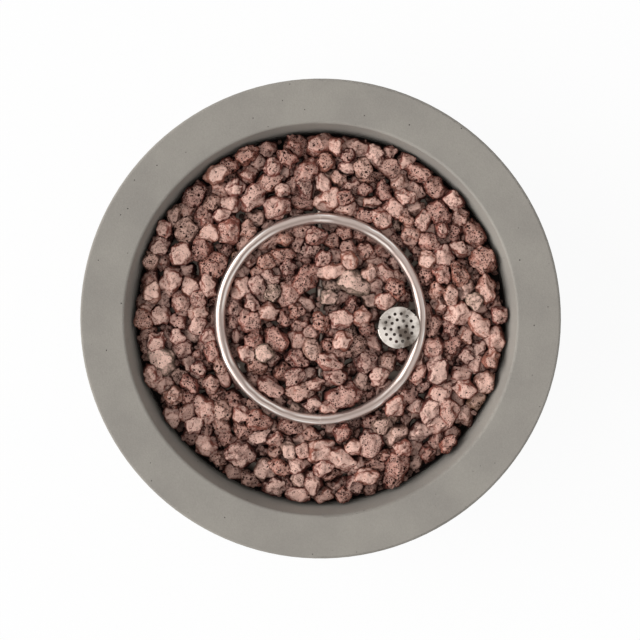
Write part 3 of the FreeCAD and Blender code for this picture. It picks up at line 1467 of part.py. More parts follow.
    def wall_planes(self, rock):
        bearing = math.atan2(rock.y, rock.x)
        lean = 1.0 / math.sqrt(1.0 + self.slope ** 2)
        for offset in (-0.16, -0.08, 0.0, 0.08, 0.16):
            angle = bearing + offset
            normal = (math.cos(angle) * lean, math.sin(angle) * lean, -self.slope * lean)
            yield normal, (self.wall - self.slope * self.floor) * lean

    def contacts(self, rock):
        """Nearest points of the burner, posts and hood, each with the distance to keep."""
        reach = 2.0 * rock.radius
        flat = math.hypot(rock.x, rock.y)
        ring, level, half = self.ring
        if abs(flat - ring) < half + reach:
            bearing = math.atan2(rock.y, rock.x)
            for offset in (-0.13, -0.065, 0.0, 0.065, 0.13):
                angle = bearing + offset
                yield (ring * math.cos(angle), ring * math.sin(angle), level), half + 0.3
        level, half, end = self.cross
        if abs(rock.x) < half + reach and abs(rock.y) < end + reach:
            yield (0.0, max(-end, min(end, rock.y)), level), half + 0.3
        for post in self.posts:
            away = math.hypot(rock.x - post.x, rock.y - post.y)
            if away > post.radius + reach:
                continue
            share = min(1.0, post.radius / away) if away else 0.0
            x = post.x + (rock.x - post.x) * share
            y = post.y + (rock.y - post.y) * share
            yield (x, y, min(rock.z, post.top)), 0.3

    def solid(self, rock):
        faces = cube_faces(rock, 2.4 * rock.radius)
        for normal, limit in self.planes(rock):
            faces = clipped(faces, normal, limit)
        skins = [Part.Face(Part.makePolygon([Vector(*spot) for spot in face + face[:1]])) for face in faces]
        skin = Part.makeCompound(skins)
        skin.sewShape()
        return Part.Solid(skin.Shells[0])


def dot(a, b):
    return a[0] * b[0] + a[1] * b[1] + a[2] * b[2]


def scaled(a, factor):
    return (a[0] * factor, a[1] * factor, a[2] * factor)


def random_rotation(rng):
    spin = Rotation(Vector(rng.gauss(0, 1), rng.gauss(0, 1), rng.gauss(0, 1)), rng.uniform(0, 360))
    rows = [spin.multVec(Vector(*axis)) for axis in (X_AXIS, Y_AXIS, Z_AXIS)]
    return [(row.x, row.y, row.z) for row in rows]


def cube_faces(rock, half):
    corner = [(rock.x + half * i, rock.y + half * j, rock.z + half * k)
              for i in (-1, 1) for j in (-1, 1) for k in (-1, 1)]
    loops = [(0, 1, 3, 2), (4, 6, 7, 5), (0, 4, 5, 1), (2, 3, 7, 6), (0, 2, 6, 4), (1, 5, 7, 3)]
    return [[corner[index] for index in loop] for loop in loops]


def clipped(faces, normal, limit):
    """Cuts a convex solid, given by its faces, with a half space; shallow cuts are left out."""
    deepest = max(dot(normal, spot) for face in faces for spot in face) - limit
    if deepest < 0.1:
        return faces
    kept = []
    rim = {}
    for face in faces:
        loop = []
        for index, spot in enumerate(face):
            following = face[(index + 1) % len(face)]
            here = dot(normal, spot) - limit
            there = dot(normal, following) - limit
            if here <= 0.0:
                loop.append(spot)
            if (here <= 0.0) != (there <= 0.0):
                first, last = (spot, following) if spot < following else (following, spot)
                low = dot(normal, first) - limit
                share = low / (low - (dot(normal, last) - limit))
                point = tuple(a + (b - a) * share for a, b in zip(first, last))
                loop.append(point)
                rim[(first, last)] = point
        if len(loop) > 2:
            kept.append(loop)
    points = list(rim.values())
    middle = tuple(sum(point[axis] for point in points) / len(points) for axis in range(3))
    side = Vector(*normal).cross(Vector(1, 0, 0) if abs(normal[0]) < 0.7 else Vector(0, 1, 0)).normalize()
    over = Vector(*normal).cross(side)

    def bearing(point):
        offset = Vector(*point) - Vector(*middle)
        return math.atan2(offset.dot(over), offset.dot(side))

    kept.append(sorted(points, key=bearing))
    return kept


def make_rocks():
    bed = RockBed(random.Random(ROCK_SEED))
    bed.fill()
    groups = {}
    for rock in bed.rocks:
        bearing = math.degrees(math.atan2(rock.y, rock.x)) % 360.0
        if math.hypot(rock.x, rock.y) < bed.ring[0]:
            label = "lava_rocks_inner_%s" % ("front" if bearing > 180.0 else "rear")
        else:
            label = "lava_rocks_outer_%d" % (1 + int(bearing * ROCK_SECTORS / 360.0))
        groups.setdefault(label, []).append(bed.solid(rock))
    for label in sorted(groups):
        item = doc.addObject("Part::Feature", label)
        item.Shape = Part.makeCompound(groups[label])
        keep(item)
    print("lava rocks: %d, in %d nodes" % (len(bed.rocks), len(groups)))


def check_model():
    """Stops where an object failed, or a shape is empty, invalid or not as long as its route."""
    doc.recompute()
    for item in doc.Objects:
        if "Invalid" in item.State or "Error" in item.State:
            raise RuntimeError("%s failed: %s" % (item.Label, item.State))
    for label, (bar, length, diameter) in routes.items():
        wanted = math.pi * float(diameter) ** 2 / 4 * length
        if abs(bar.Shape.Volume - wanted) > 0.01 * wanted:
            raise RuntimeError("%s: volume %.0f, expected %.0f" % (label, bar.Shape.Volume, wanted))
    for label, item in pieces.items():
        shape = item.Shape
        if shape.isNull() or not shape.isValid() or not shape.Solids:
            raise RuntimeError("%s has no valid solid" % label)


def write_pieces():
    os.makedirs("parts", exist_ok=True)
    for label, item in pieces.items():
        item.Shape.exportStep("parts/%s.step" % label)
    print("pieces: %d" % len(pieces))


make_bowl()
make_feet()
make_pan()
make_ring()
make_burner_feed()
make_mixer()
make_orifice()
make_inlet()
make_panel()
make_valve()
make_knob()
make_igniter()
make_hood()
make_sensors()
make_lines()
make_rocks()
check_model()
write_pieces()
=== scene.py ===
"""Looks of a cast concrete fire bowl for propane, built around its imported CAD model.

Lengths are in metres, in the model's own frame: X to the right, Y to the rear and Z up.
"""

import logging
import math
import random
from dataclasses import dataclass
from enum import Enum
from typing import Any

import bmesh
import bpy
from mathutils import Matrix, Vector, noise
from mathutils.bvhtree import BVHTree


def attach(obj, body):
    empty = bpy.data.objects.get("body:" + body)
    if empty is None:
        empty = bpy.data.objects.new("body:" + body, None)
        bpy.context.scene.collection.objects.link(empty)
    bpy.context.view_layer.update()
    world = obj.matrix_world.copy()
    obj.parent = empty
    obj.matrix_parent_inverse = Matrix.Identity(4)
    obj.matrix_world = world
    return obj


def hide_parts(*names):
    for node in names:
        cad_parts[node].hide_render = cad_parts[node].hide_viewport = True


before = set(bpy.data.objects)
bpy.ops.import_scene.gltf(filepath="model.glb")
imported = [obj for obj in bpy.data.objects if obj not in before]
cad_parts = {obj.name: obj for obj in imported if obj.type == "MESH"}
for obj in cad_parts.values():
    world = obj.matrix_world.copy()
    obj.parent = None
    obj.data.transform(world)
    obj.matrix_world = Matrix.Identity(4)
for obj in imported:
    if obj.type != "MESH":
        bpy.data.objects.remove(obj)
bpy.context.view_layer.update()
LOG = logging.getLogger("fire_bowl")
MM = 0.001
RING_RADIUS = 194 * MM
TUBE_RADIUS = 11 * MM
# Points of a turned mesh that lie closer than this are one point.
WELD = 0.001 * MM
# Stops of a colour ramp: place from 0 to 1, and colour.
Ramp = tuple[tuple[float, str], ...]


def linear(code: str) -> tuple[float, float, float, float]:
    """Turn an sRGB hex colour into linear RGBA.

    Args:
        code: Colour such as #96918b.

    Returns:
        Red, green, blue and an alpha of 1.
    """
    parts = [int(code[start:start + 2], 16) / 255 for start in (1, 3, 5)]
    red, green, blue = (
        part / 12.92 if part <= 0.04045 else ((part + 0.055) / 1.055) ** 2.4 for part in parts
    )
    return red, green, blue, 1.0


def add_node(
    tree: bpy.types.NodeTree,
    kind: str,
    settings: dict[str | int, Any] | None = None,
    links: dict[str | int, bpy.types.NodeSocket] | None = None,
) -> bpy.types.Node:
    """Add one shader node with its settings and links.

    Args:
        tree: Node tree that takes the node.
        kind: Blender's node type after its ShaderNode prefix.
        settings: Values by input name or number, by property, or colour stops under "ramp".
        links: Output sockets that feed the node, by input name or number.

    Returns:
        The new node.
    """
    node = tree.nodes.new("ShaderNode" + kind)
    for key, value in (settings or {}).items():
        if key == "ramp":
            stops = node.color_ramp.elements
            while len(stops) < len(value):
                stops.new(1.0)
            for stop, (place, colour) in zip(stops, value):
                stop.position = place
                stop.color = linear(colour)
        elif isinstance(key, int) or key in node.inputs:
            node.inputs[key].default_value = value
        else:
            setattr(node, key, value)
    for key, socket in (links or {}).items():
        tree.links.new(socket, node.inputs[key])
    return node


@dataclass(frozen=True)
class Finish:
    """A material, named for what it is and for how its surface was made."""

    name: str

    def material(self) -> bpy.types.Material:
        """Hand out this finish's material, which is made at its first use.

        Returns:
            The Blender material.
        """
        found = bpy.data.materials.get(self.name)
        if found is not None:
            return found
        made = bpy.data.materials.new(self.name)
        made.use_nodes = True
        tree = made.node_tree
        tree.nodes.clear()
        coords = add_node(tree, "TexCoord").outputs["Object"]
        shader = self.shade(tree, coords)
        add_node(tree, "OutputMaterial", links={"Surface": shader.outputs[0]})
        return made

    def shade(self, tree: bpy.types.NodeTree, coords: bpy.types.NodeSocket) -> bpy.types.Node:
        """Lay out the nodes of the surface.

        Args:
            tree: Empty node tree of the material.
            coords: Object coordinates.

        Returns:
            The shader node.
        """
        raise NotImplementedError


@dataclass(frozen=True)
class CastConcrete(Finish):
    """Fine concrete out of a smooth mould: an even warm grey with faint clouds and air holes painted dark
    with shade.
    """

    pale: str = "#97928a"
    dark: str = "#8e8982"
    # Colour of the painted shade inside the air holes.
    hole: str = "#4a453f"
    cloud: float = 90 * MM
    sand: float = 2.6 * MM
    hole_spacing: float = 14 * MM
    hole_radius: float = 1.5 * MM
    hole_rarity: float = 0.45
    hole_edge: float = 0.3
    hole_depth: float = 4.0
    relief: float = 0.35 * MM

    def shade(self, tree: bpy.types.NodeTree, coords: bpy.types.NodeSocket) -> bpy.types.Node:
        """Mix clouds, sand grain and air holes with painted shade in them.

        Args:
            tree: Empty node tree of the material.
            coords: Object coordinates.

        Returns:
            The shader node.
        """
        at = {"Vector": coords}
        clouds = add_node(tree, "TexNoise", {"Scale": 1 / self.cloud, "Detail": 4.0}, at)
        tone = add_node(
            tree, "ValToRGB", {"ramp": [(0.34, self.dark), (0.66, self.pale)]}, {"Fac": clouds.outputs[0]}
        )
        # Sand under 1 mm doesn't show at this distance, so its grain is drawn 2 to 3 mm wide.
        sand = add_node(tree, "TexNoise", {"Scale": 1 / self.sand, "Detail": 3.0}, at)
        grain = add_node(
            tree, "MapRange", {"From Min": 0.3, "From Max": 0.7, "To Min": 0.95, "To Max": 1.05},
            {"Value": sand.outputs[0]},
        )
        grained = add_node(
            tree, "VectorMath", {"operation": "SCALE"}, {0: tone.outputs[0], "Scale": grain.outputs[0]}
        )
        cells = add_node(tree, "TexVoronoi", {"Scale": 1 / self.hole_spacing}, at)
        chance = add_node(tree, "SeparateColor", links={0: cells.outputs["Color"]})
        widest = self.hole_radius / self.hole_spacing
        radius = add_node(
            tree, "MapRange", {"From Min": self.hole_rarity, "To Max": widest}, {"Value": chance.outputs[0]}
        )
        inside = add_node(
            tree, "Math", {"operation": "SUBTRACT"}, {0: radius.outputs[0], 1: cells.outputs["Distance"]}
        )
        hole = add_node(
            tree, "MapRange", {"From Max": widest * self.hole_edge, "interpolation_type": "SMOOTHSTEP"},
            {"Value": inside.outputs[0]},
        )
        # The air holes are painted dark: painted shade inside them.
        colour = add_node(
            tree, "Mix", {"data_type": "RGBA", 7: linear(self.hole)},
            {0: hole.outputs[0], 6: grained.outputs[0]},
        )
        relief = add_node(
            tree, "Math", {"operation": "MULTIPLY_ADD", 1: -self.hole_depth},
            {0: hole.outputs[0], 2: sand.outputs[0]},
        )
        bump = add_node(tree, "Bump", {"Distance": self.relief}, {"Height": relief.outputs[0]})
        return add_node(
            tree, "BsdfPrincipled", {"Roughness": 0.84, "IOR": 1.5},
            {"Base Color": colour.outputs[2], "Normal": bump.outputs[0]},
        )


@dataclass(frozen=True)
class CrushedScoria(Finish):
    """Lava rock as it is crushed: dull pink-brown, pale on top from a dusting of rock powder and from
    painted light, darker on sides, undersides and low places with painted shade, and full of gas holes
    painted dark with shade.
    """

    tints: Ramp = (
        (0.0, "#6d3e36"), (0.1, "#884e44"), (0.35, "#a56658"), (0.6, "#96584a"), (0.88, "#ae7361"),
        (0.95, "#9c786a"), (0.975, "#988171"), (0.99, "#9d8776"), (1.0, "#ad7c5b"),
    )
    # Colour of the painted shade in pits, bites, low rocks and undersides.
    painted_shade: str = "#2b0d08"
    # Colour of the painted shade inside the gas holes.
    pore_shade: str = "#2a100a"
    # Pale colour of rock dust and of painted light on the up-facing tops.
    dust_and_light: str = "#f9cfbf"
    mottle: float = 12 * MM
    grit: float = 5 * MM
    fine_spacing: float = 3.3 * MM
    fine_radius: float = 1.7 * MM
    wide_spacing: float = 11 * MM
    wide_radius: float = 3.6 * MM
    hole_least: float = 0.45
    hole_edge: float = 0.3
    pull: float = 1.6 * MM
    hole_depth: float = 0.8
    relief: float = 3.2 * MM

    def shade(self, tree: bpy.types.NodeTree, coords: bpy.types.NodeSocket) -> bpy.types.Node:
        """Mix each rock's own tint with a pale dusting and painted light on top, grit, gas holes painted
        dark with shade, and painted shade on sides, undersides and low places.

        Args:
            tree: Empty node tree of the material.
            coords: Object coordinates.

        Returns:
            The shader node.
        """
        at = {"Vector": coords}
        tint = add_node(tree, "Attribute", {"attribute_name": "rock_tint"})
        base = add_node(tree, "ValToRGB", {"ramp": self.tints}, {"Fac": tint.outputs["Fac"]})
        mottle = add_node(tree, "TexNoise", {"Scale": 1 / self.mottle, "Detail": 4.0}, at)
        shade = add_node(
            tree, "MapRange", {"From Min": 0.28, "From Max": 0.72, "To Min": 0.64, "To Max": 1.2},
            {"Value": mottle.outputs[0]},
        )
        mottled = add_node(
            tree, "VectorMath", {"operation": "SCALE"}, {0: base.outputs[0], "Scale": shade.outputs[0]}
        )
        # Dust lies on what faces up, thicker where the grit is coarse; the same pale colour is also painted
        # light on the tops, and the sides stay darker as painted shade.
        up = add_node(tree, "SeparateXYZ", links={0: add_node(tree, "NewGeometry").outputs["Normal"]})
        # Grit is under 1 mm on the real rock and is drawn several times as wide, so that it shows.
        grit = add_node(tree, "TexNoise", {"Scale": 1 / self.grit, "Detail": 5.0, "Roughness": 0.68}, at)
        lying = add_node(tree, "Math", {"operation": "MULTIPLY"}, {0: up.outputs[2], 1: grit.outputs[0]})
        dusted_and_lit = add_node(
            tree, "MapRange", {"From Min": 0.24, "From Max": 0.45}, {"Value": lying.outputs[0]}
        )
        # A rock with many holes holds less dust.
        share = add_node(tree, "Attribute", {"attribute_name": "rock_pores"})
        held = add_node(
            tree, "MapRange", {"From Min": 0.5, "To Min": 1.0, "To Max": 0.45},
            {"Value": share.outputs["Fac"]},
        )
        kept = add_node(
            tree, "Math", {"operation": "MULTIPLY"}, {0: dusted_and_lit.outputs[0], 1: held.outputs[0]}
        )
        dusty_and_lit = add_node(
            tree, "Mix", {"data_type": "RGBA", 7: linear(self.dust_and_light)},
            {0: kept.outputs[0], 6: mottled.outputs[0]},
        )
        # The holes are pulled out of round by the grit.
        pulled = add_node(
            tree, "VectorMath", {"operation": "MULTIPLY_ADD", 1: (self.pull,) * 3},
            {0: grit.outputs["Color"], 2: coords},
        ).outputs[0]
        fine = self.pores(tree, pulled, share.outputs["Fac"], self.fine_spacing, self.fine_radius)
        wide = self.pores(tree, pulled, share.outputs["Fac"], self.wide_spacing, self.wide_radius)
        pore_shade = add_node(tree, "Math", {"operation": "MAXIMUM"}, {0: fine, 1: wide})
        # The gas holes are painted dark: painted shade inside them.
        pitted = add_node(
            tree, "Mix", {"data_type": "RGBA", 7: linear(self.pore_shade)},
            {0: pore_shade.outputs[0], 6: dusty_and_lit.outputs[2]},
        )
        # Painted shade in pits and bites, on rocks low in the bed and on sides and undersides, stored per
        # point.
        depth = add_node(tree, "Attribute", {"attribute_name": "rock_hollow"})
        colour = add_node(
            tree, "Mix", {"data_type": "RGBA", 7: linear(self.painted_shade)},
            {0: depth.outputs["Fac"], 6: pitted.outputs[2]},
        )
        relief = add_node(
            tree, "Math", {"operation": "MULTIPLY_ADD", 1: -self.hole_depth},
            {0: pore_shade.outputs[0], 2: grit.outputs[0]},
        )
        bump = add_node(tree, "Bump", {"Distance": self.relief}, {"Height": relief.outputs[0]})
        return add_node(
            tree, "BsdfPrincipled", {"Roughness": 0.95, "IOR": 1.5, "Specular IOR Level": 0.2},
            {"Base Color": colour.outputs[2], "Normal": bump.outputs[0]},
        )

    def pores(
        self, tree: bpy.types.NodeTree, coords: bpy.types.NodeSocket, share: bpy.types.NodeSocket,
        spacing: float, radius: float,
    ) -> bpy.types.NodeSocket:
        """Scatter round gas holes of unlike size through the rock.

        Args:
            tree: Node tree of the material.
            coords: Object coordinates.
            share: How open this rock is, from about a half to 1.
            spacing: Mean distance between holes.
            radius: Radius of the widest hole.

        Returns:
            A mask that is 1 inside the holes.
        """
        cells = add_node(tree, "TexVoronoi", {"Scale": 1 / spacing}, {"Vector": coords})
        chance = add_node(tree, "SeparateColor", links={0: cells.outputs["Color"]})
        widest = radius / spacing
        size = add_node(
            tree, "MapRange", {"To Min": widest * self.hole_least, "To Max": widest},
            {"Value": chance.outputs[0]},
        )
        opened = add_node(tree, "Math", {"operation": "MULTIPLY"}, {0: size.outputs[0], 1: share})
        inside = add_node(
            tree, "Math", {"operation": "SUBTRACT"}, {0: opened.outputs[0], 1: cells.outputs["Distance"]}
        )
        mask = add_node(
            tree, "MapRange", {"From Max": widest * self.hole_edge, "interpolation_type": "SMOOTHSTEP"},
            {"Value": inside.outputs[0]},
        )
        return mask.outputs[0]


@dataclass(frozen=True)
class Marks:
    """Marks that a process leaves on metal, by size, direction, depth and spread of gloss."""

    size: float
    stretch: tuple[float, float, float]
    depth: float
    spread: float


class MetalSurface(Enum):
    """How a metal's surface was made."""

    POLISHED = Marks(9 * MM, (1.0, 1.0, 1.0), 0.004 * MM, 0.05)
    STAMPED = Marks(13 * MM, (1.0, 1.0, 1.0), 0.5 * MM, 0.1)
    ROLLED = Marks(3 * MM, (0.08, 1.0, 1.0), 0.02 * MM, 0.1)
    TURNED = Marks(1.2 * MM, (1.0, 0.25, 1.0), 0.02 * MM, 0.08)
    CAST = Marks(1.6 * MM, (1.0, 1.0, 1.0), 0.16 * MM, 0.08)
    PLATED = Marks(4 * MM, (1.0, 1.0, 1.0), 0.02 * MM, 0.12)


@dataclass(frozen=True)
class Metal(Finish):
    """Bare or plated metal: its colour, patches that are duller, and the marks of its making."""

    bright: str
    dull: str
    roughness: float
    surface: MetalSurface
    patch: float = 22 * MM

    def shade(self, tree: bpy.types.NodeTree, coords: bpy.types.NodeSocket) -> bpy.types.Node:
        """Mix bright and dull patches, and vary the gloss with the marks.

        Args:
            tree: Empty node tree of the material.
            coords: Object coordinates.

        Returns:
            The shader node.
        """
        marks = self.surface.value
        patches = add_node(tree, "TexNoise", {"Scale": 1 / self.patch, "Detail": 3.0}, {"Vector": coords})
        colour = add_node(
            tree, "ValToRGB", {"ramp": [(0.38, self.dull), (0.62, self.bright)]},
            {"Fac": patches.outputs[0]},
        )
        turned = add_node(tree, "Mapping", {"Scale": marks.stretch}, {"Vector": coords})
        grain = add_node(
            tree, "TexNoise", {"Scale": 1 / marks.size, "Detail": 3.0}, {"Vector": turned.outputs[0]}
        )
        rough = add_node(
            tree, "MapRange",
            {
                "From Min": 0.3, "From Max": 0.7,
                "To Min": max(0.04, self.roughness - marks.spread), "To Max": self.roughness + marks.spread,
            },
            {"Value": grain.outputs[0]},
        )
        bump = add_node(tree, "Bump", {"Distance": marks.depth}, {"Height": grain.outputs[0]})
        return add_node(
            tree, "BsdfPrincipled", {"Metallic": 1.0},
            {"Base Color": colour.outputs[0], "Roughness": rough.outputs[0], "Normal": bump.outputs[0]},
        )


@dataclass(frozen=True)
class DrawnRing(Finish):
    """Tube that was drawn, bent to a ring and buffed, with painted reflections: bright and dark bands that
    run along it.
    """

    radius: float = RING_RADIUS
    half: float = TUBE_RADIUS
    run: float = 45 * MM
    waver: float = 0.14
    glint: float = 70 * MM
    roughness: float = 0.24
    spread: float = 0.08
    relief: float = 0.05 * MM
    painted_reflections: Ramp = (
        (0.0, "#c9b4aa"), (0.16, "#c2afa5"), (0.27, "#efe7e1"), (0.36, "#b3a299"), (0.45, "#7b6a62"),
        (0.56, "#baa9a0"), (0.66, "#bfb0a7"), (0.76, "#fdf9f5"), (0.86, "#c0ada3"), (1.0, "#c9b4aa"),
    )
    dim_painted_reflections: Ramp = (
        (0.0, "#b3a098"), (0.2, "#b09d95"), (0.4, "#9a8981"), (0.6, "#bfaea6"),
        (0.8, "#b09d95"), (1.0, "#b3a098"),
    )

    def shade(self, tree: bpy.types.NodeTree, coords: bpy.types.NodeSocket) -> bpy.types.Node:
        """Lay the painted reflection bands across the tube and let them waver along it.

        Args:
            tree: Empty node tree of the material.
            coords: Object coordinates.

        Returns:
            The shader node.
        """
        flat = add_node(
            tree, "VectorMath", {"operation": "MULTIPLY", 1: (1.0, 1.0, 0.0)}, {0: coords}
        )
        out = add_node(tree, "VectorMath", {"operation": "LENGTH"}, {0: flat.outputs[0]})
        across = add_node(
            tree, "MapRange",
            {"From Min": self.radius - self.half, "From Max": self.radius + self.half, "clamp": False},
            {"Value": out.outputs["Value"]},
        )
        waves = add_node(tree, "TexNoise", {"Scale": 1 / self.run, "Detail": 2.0}, {"Vector": coords})
        shifted = add_node(
            tree, "MapRange", {"To Min": -self.waver, "To Max": self.waver}, {"Value": waves.outputs[0]}
        )
        place = add_node(tree, "Math", {"operation": "ADD"}, {0: across.outputs[0], 1: shifted.outputs[0]})
        # Painted reflections: bright highlight bands and a dark line across the tube, and a dimmer copy of
        # them.
        bright = add_node(tree, "ValToRGB", {"ramp": self.painted_reflections}, {"Fac": place.outputs[0]})
        dull = add_node(tree, "ValToRGB", {"ramp": self.dim_painted_reflections}, {"Fac": place.outputs[0]})
        # The painted reflections come and go along the tube.
        lengths = add_node(tree, "TexNoise", {"Scale": 1 / self.glint, "Detail": 1.0}, {"Vector": coords})
        shows = add_node(
            tree, "MapRange", {"From Min": 0.36, "From Max": 0.56}, {"Value": lengths.outputs[0]}
        )
        colour = add_node(
            tree, "Mix", {"data_type": "RGBA"},
            {0: shows.outputs[0], 6: dull.outputs[0], 7: bright.outputs[0]},
        )
        rough = add_node(
            tree, "MapRange",
            {"To Min": self.roughness - self.spread, "To Max": self.roughness + self.spread},
            {"Value": waves.outputs[0]},
        )
        bump = add_node(tree, "Bump", {"Distance": self.relief}, {"Height": waves.outputs[0]})
        # A film of rock dust dulls the mirror a little and lights the sides of the tube.
        return add_node(
            tree, "BsdfPrincipled", {"Metallic": 0.72},
            {"Base Color": colour.outputs[2], "Roughness": rough.outputs[0], "Normal": bump.outputs[0]},
        )


@dataclass(frozen=True)
class PanSheet(Finish):
    """Rolled sheet under the rocks: dull grey, with painted shade that turns it nearly black towards its
    edge.
    """

    clean: str = "#857a70"
    # Colour of the painted shade at the edge of the sheet.
    edge_shade_colour: str = "#27211e"
    edge_shade_from: float = 325 * MM
    edge_shade_to: float = 352 * MM
    ragged: float = 30 * MM
    patch: float = 30 * MM
    relief: float = 0.05 * MM

    def shade(self, tree: bpy.types.NodeTree, coords: bpy.types.NodeSocket) -> bpy.types.Node:
        """Paint shade onto the sheet towards its edge, which is ragged in patches.

        Args:
            tree: Empty node tree of the material.
            coords: Object coordinates.

        Returns:
            The shader node.
        """
        patches = add_node(tree, "TexNoise", {"Scale": 1 / self.patch, "Detail": 4.0}, {"Vector": coords})
        flat = add_node(
            tree, "VectorMath", {"operation": "MULTIPLY", 1: (1.0, 1.0, 0.0)}, {0: coords}
        )
        out = add_node(tree, "VectorMath", {"operation": "LENGTH"}, {0: flat.outputs[0]})
        edge = add_node(
            tree, "Math", {"operation": "MULTIPLY_ADD", 1: self.ragged},
            {0: patches.outputs[0], 2: out.outputs["Value"]},
        )
        # Painted shade towards the edge by the wall.
        edge_shade = add_node(
            tree, "MapRange", {"From Min": self.edge_shade_from, "From Max": self.edge_shade_to, "To Min": 0.15},
            {"Value": edge.outputs[0]},
        )
        colour = add_node(
            tree, "Mix", {"data_type": "RGBA", 6: linear(self.clean), 7: linear(self.edge_shade_colour)},
            {0: edge_shade.outputs[0]},
        )
        rough = add_node(
            tree, "MapRange", {"To Min": 0.42, "To Max": 0.85}, {"Value": edge_shade.outputs[0]}
        )
        bump = add_node(tree, "Bump", {"Distance": self.relief}, {"Height": patches.outputs[0]})
        return add_node(
            tree, "BsdfPrincipled", {"Metallic": 0.8},
            {"Base Color": colour.outputs[2], "Roughness": rough.outputs[0], "Normal": bump.outputs[0]},
        )


@dataclass(frozen=True)
class Moulded(Finish):
    """Moulded or coated polymer: nearly even colour under a fine grain."""

    colour: str
    worn: str
    roughness: float
    ior: float = 1.5
    grain: float = 1.4 * MM
    depth: float = 0.05 * MM
    patch: float = 18 * MM

    def shade(self, tree: bpy.types.NodeTree, coords: bpy.types.NodeSocket) -> bpy.types.Node:
        """Vary colour over some centimetres, and gloss and relief with the grain.

        Args:
            tree: Empty node tree of the material.
            coords: Object coordinates.

        Returns:
            The shader node.
        """
        at = {"Vector": coords}
        wear = add_node(tree, "TexNoise", {"Scale": 1 / self.patch, "Detail": 4.0}, at)
        colour = add_node(
            tree, "ValToRGB", {"ramp": [(0.4, self.colour), (0.75, self.worn)]}, {"Fac": wear.outputs[0]}
        )
        # Mould grain of a few tenths of a millimetre is drawn wider, so that it shows.
        grain = add_node(tree, "TexNoise", {"Scale": 1 / self.grain, "Detail": 2.0}, at)
        rough = add_node(
            tree, "MapRange",
            {
                "From Min": 0.3, "From Max": 0.7,
                "To Min": self.roughness - 0.05, "To Max": min(1.0, self.roughness + 0.07),
            },
            {"Value": grain.outputs[0]},
        )
        bump = add_node(tree, "Bump", {"Distance": self.depth}, {"Height": grain.outputs[0]})
        return add_node(
            tree, "BsdfPrincipled", {"IOR": self.ior},
            {"Base Color": colour.outputs[0], "Roughness": rough.outputs[0], "Normal": bump.outputs[0]},
        )


CONCRETE = CastConcrete("cast_concrete")
SCORIA = CrushedScoria("crushed_scoria")
# Drawn and buffed tube: long bright and dark streaks of painted reflection that follow the ring round.
RING_STEEL = DrawnRing("buffed_stainless_tube_painted_reflections")
# The same tube under the rocks: straw coloured and dulled by heat.
FEED_STEEL = Metal("heat_dulled_stainless", "#7d7068", "#665a53", 0.36, MetalSurface.POLISHED)
# Pressed sheet: bright but a little uneven, so reflections break up; its colour runs from near white to
# dark grey in wide patches, which are painted reflections.
HOOD_STEEL = Metal("pressed_stainless_sheet_painted_reflections", "#e0d7ce", "#655b53", 0.25, MetalSurface.STAMPED, 34 * MM)
PAN_STEEL = PanSheet("rolled_steel_sheet")
ZINC = Metal("zinc_plated_steel", "#c4c6c6", "#a6aaac", 0.34, MetalSurface.PLATED, 6 * MM)
BLACK_STEEL = Metal("blackened_steel", "#3a3a3c", "#29292b", 0.45, MetalSurface.PLATED, 5 * MM)
CASTING = Metal("die_cast_aluminium", "#b4b6b8", "#9c9ea1", 0.46, MetalSurface.CAST)
BRASS = Metal("turned_brass", "#c9a25c", "#b38a47", 0.28, MetalSurface.TURNED, 9 * MM)
TUBE = Metal("drawn_aluminium_tube", "#c3c4c4", "#aeb0b1", 0.3, MetalSurface.ROLLED)
SPRING = Metal("drawn_spring_wire", "#9b9a96", "#85847f", 0.36, MetalSurface.ROLLED, 4 * MM)
COPPER = Metal("drawn_copper_tube", "#c08262", "#a2684b", 0.3, MetalSurface.ROLLED, 12 * MM)
CHROME = Metal("chrome_plated_ring", "#d6d8da", "#c6c8ca", 0.09, MetalSurface.POLISHED)
BATTERY = Metal("nickel_plated_can", "#bdb9b0", "#a9a59c", 0.3, MetalSurface.PLATED, 7 * MM)
PANEL = Moulded("powder_coated_steel", "#1c1c1d", "#252526", 0.52, grain=1.8 * MM, depth=0.09 * MM)
KNOB = Moulded("moulded_phenolic", "#161617", "#202021", 0.4)
POINTER = Moulded("filled_white_paint", "#e6e4de", "#d8d5cd", 0.5)
BARREL = Moulded("moulded_black_nylon", "#1b1b1c", "#262627", 0.48)
BUTTON = Moulded("moulded_red_nylon", "#a8201a", "#96201b", 0.36)
RUBBER = Moulded("moulded_rubber", "#252524", "#31312f", 0.82, 1.52, 2 * MM, 0.12 * MM)
SILICONE = Moulded("extruded_silicone", "#a9482f", "#964029", 0.55, 1.42)
ALUMINA = Moulded("fired_alumina", "#e9e5da", "#d9d3c5", 0.5, 1.76)


def finished(shape: bmesh.types.BMesh, name: str, smooth: bool = True) -> bpy.types.Mesh:
    """Make a mesh of a finished shape.

    Args:
        shape: The shape, freed here.
        name: Name of the mesh.
        smooth: Whether its faces are shaded smooth.

    Returns:
        The mesh.
    """
    mesh = bpy.data.meshes.new(name)
    shape.to_mesh(mesh)
    shape.free()
    if smooth:
        mesh.shade_smooth()
    return mesh


def add_piece(
    name: str, mesh: bpy.types.Mesh, body: str, finish: Finish, stands_for: tuple[str, ...] = ()
) -> bpy.types.Object:
    """Put a finished mesh into the scene as a piece of the bowl.

    Args:
        name: Name of the piece.
        mesh: Mesh in the model's frame.
        body: Body that carries the piece.
        finish: Finish of the whole piece.
        stands_for: CAD nodes that the piece is shown in place of.

    Returns:
        The new object.
    """
    piece = bpy.data.objects.new(name, mesh)
    bpy.context.scene.collection.objects.link(piece)
    mesh.materials.clear()
    mesh.materials.append(finish.material())
    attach(piece, body)
    if stands_for:
        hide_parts(*stands_for)
    LOG.info("%s: %d faces, on %s", name, len(mesh.polygons), body)
    return piece


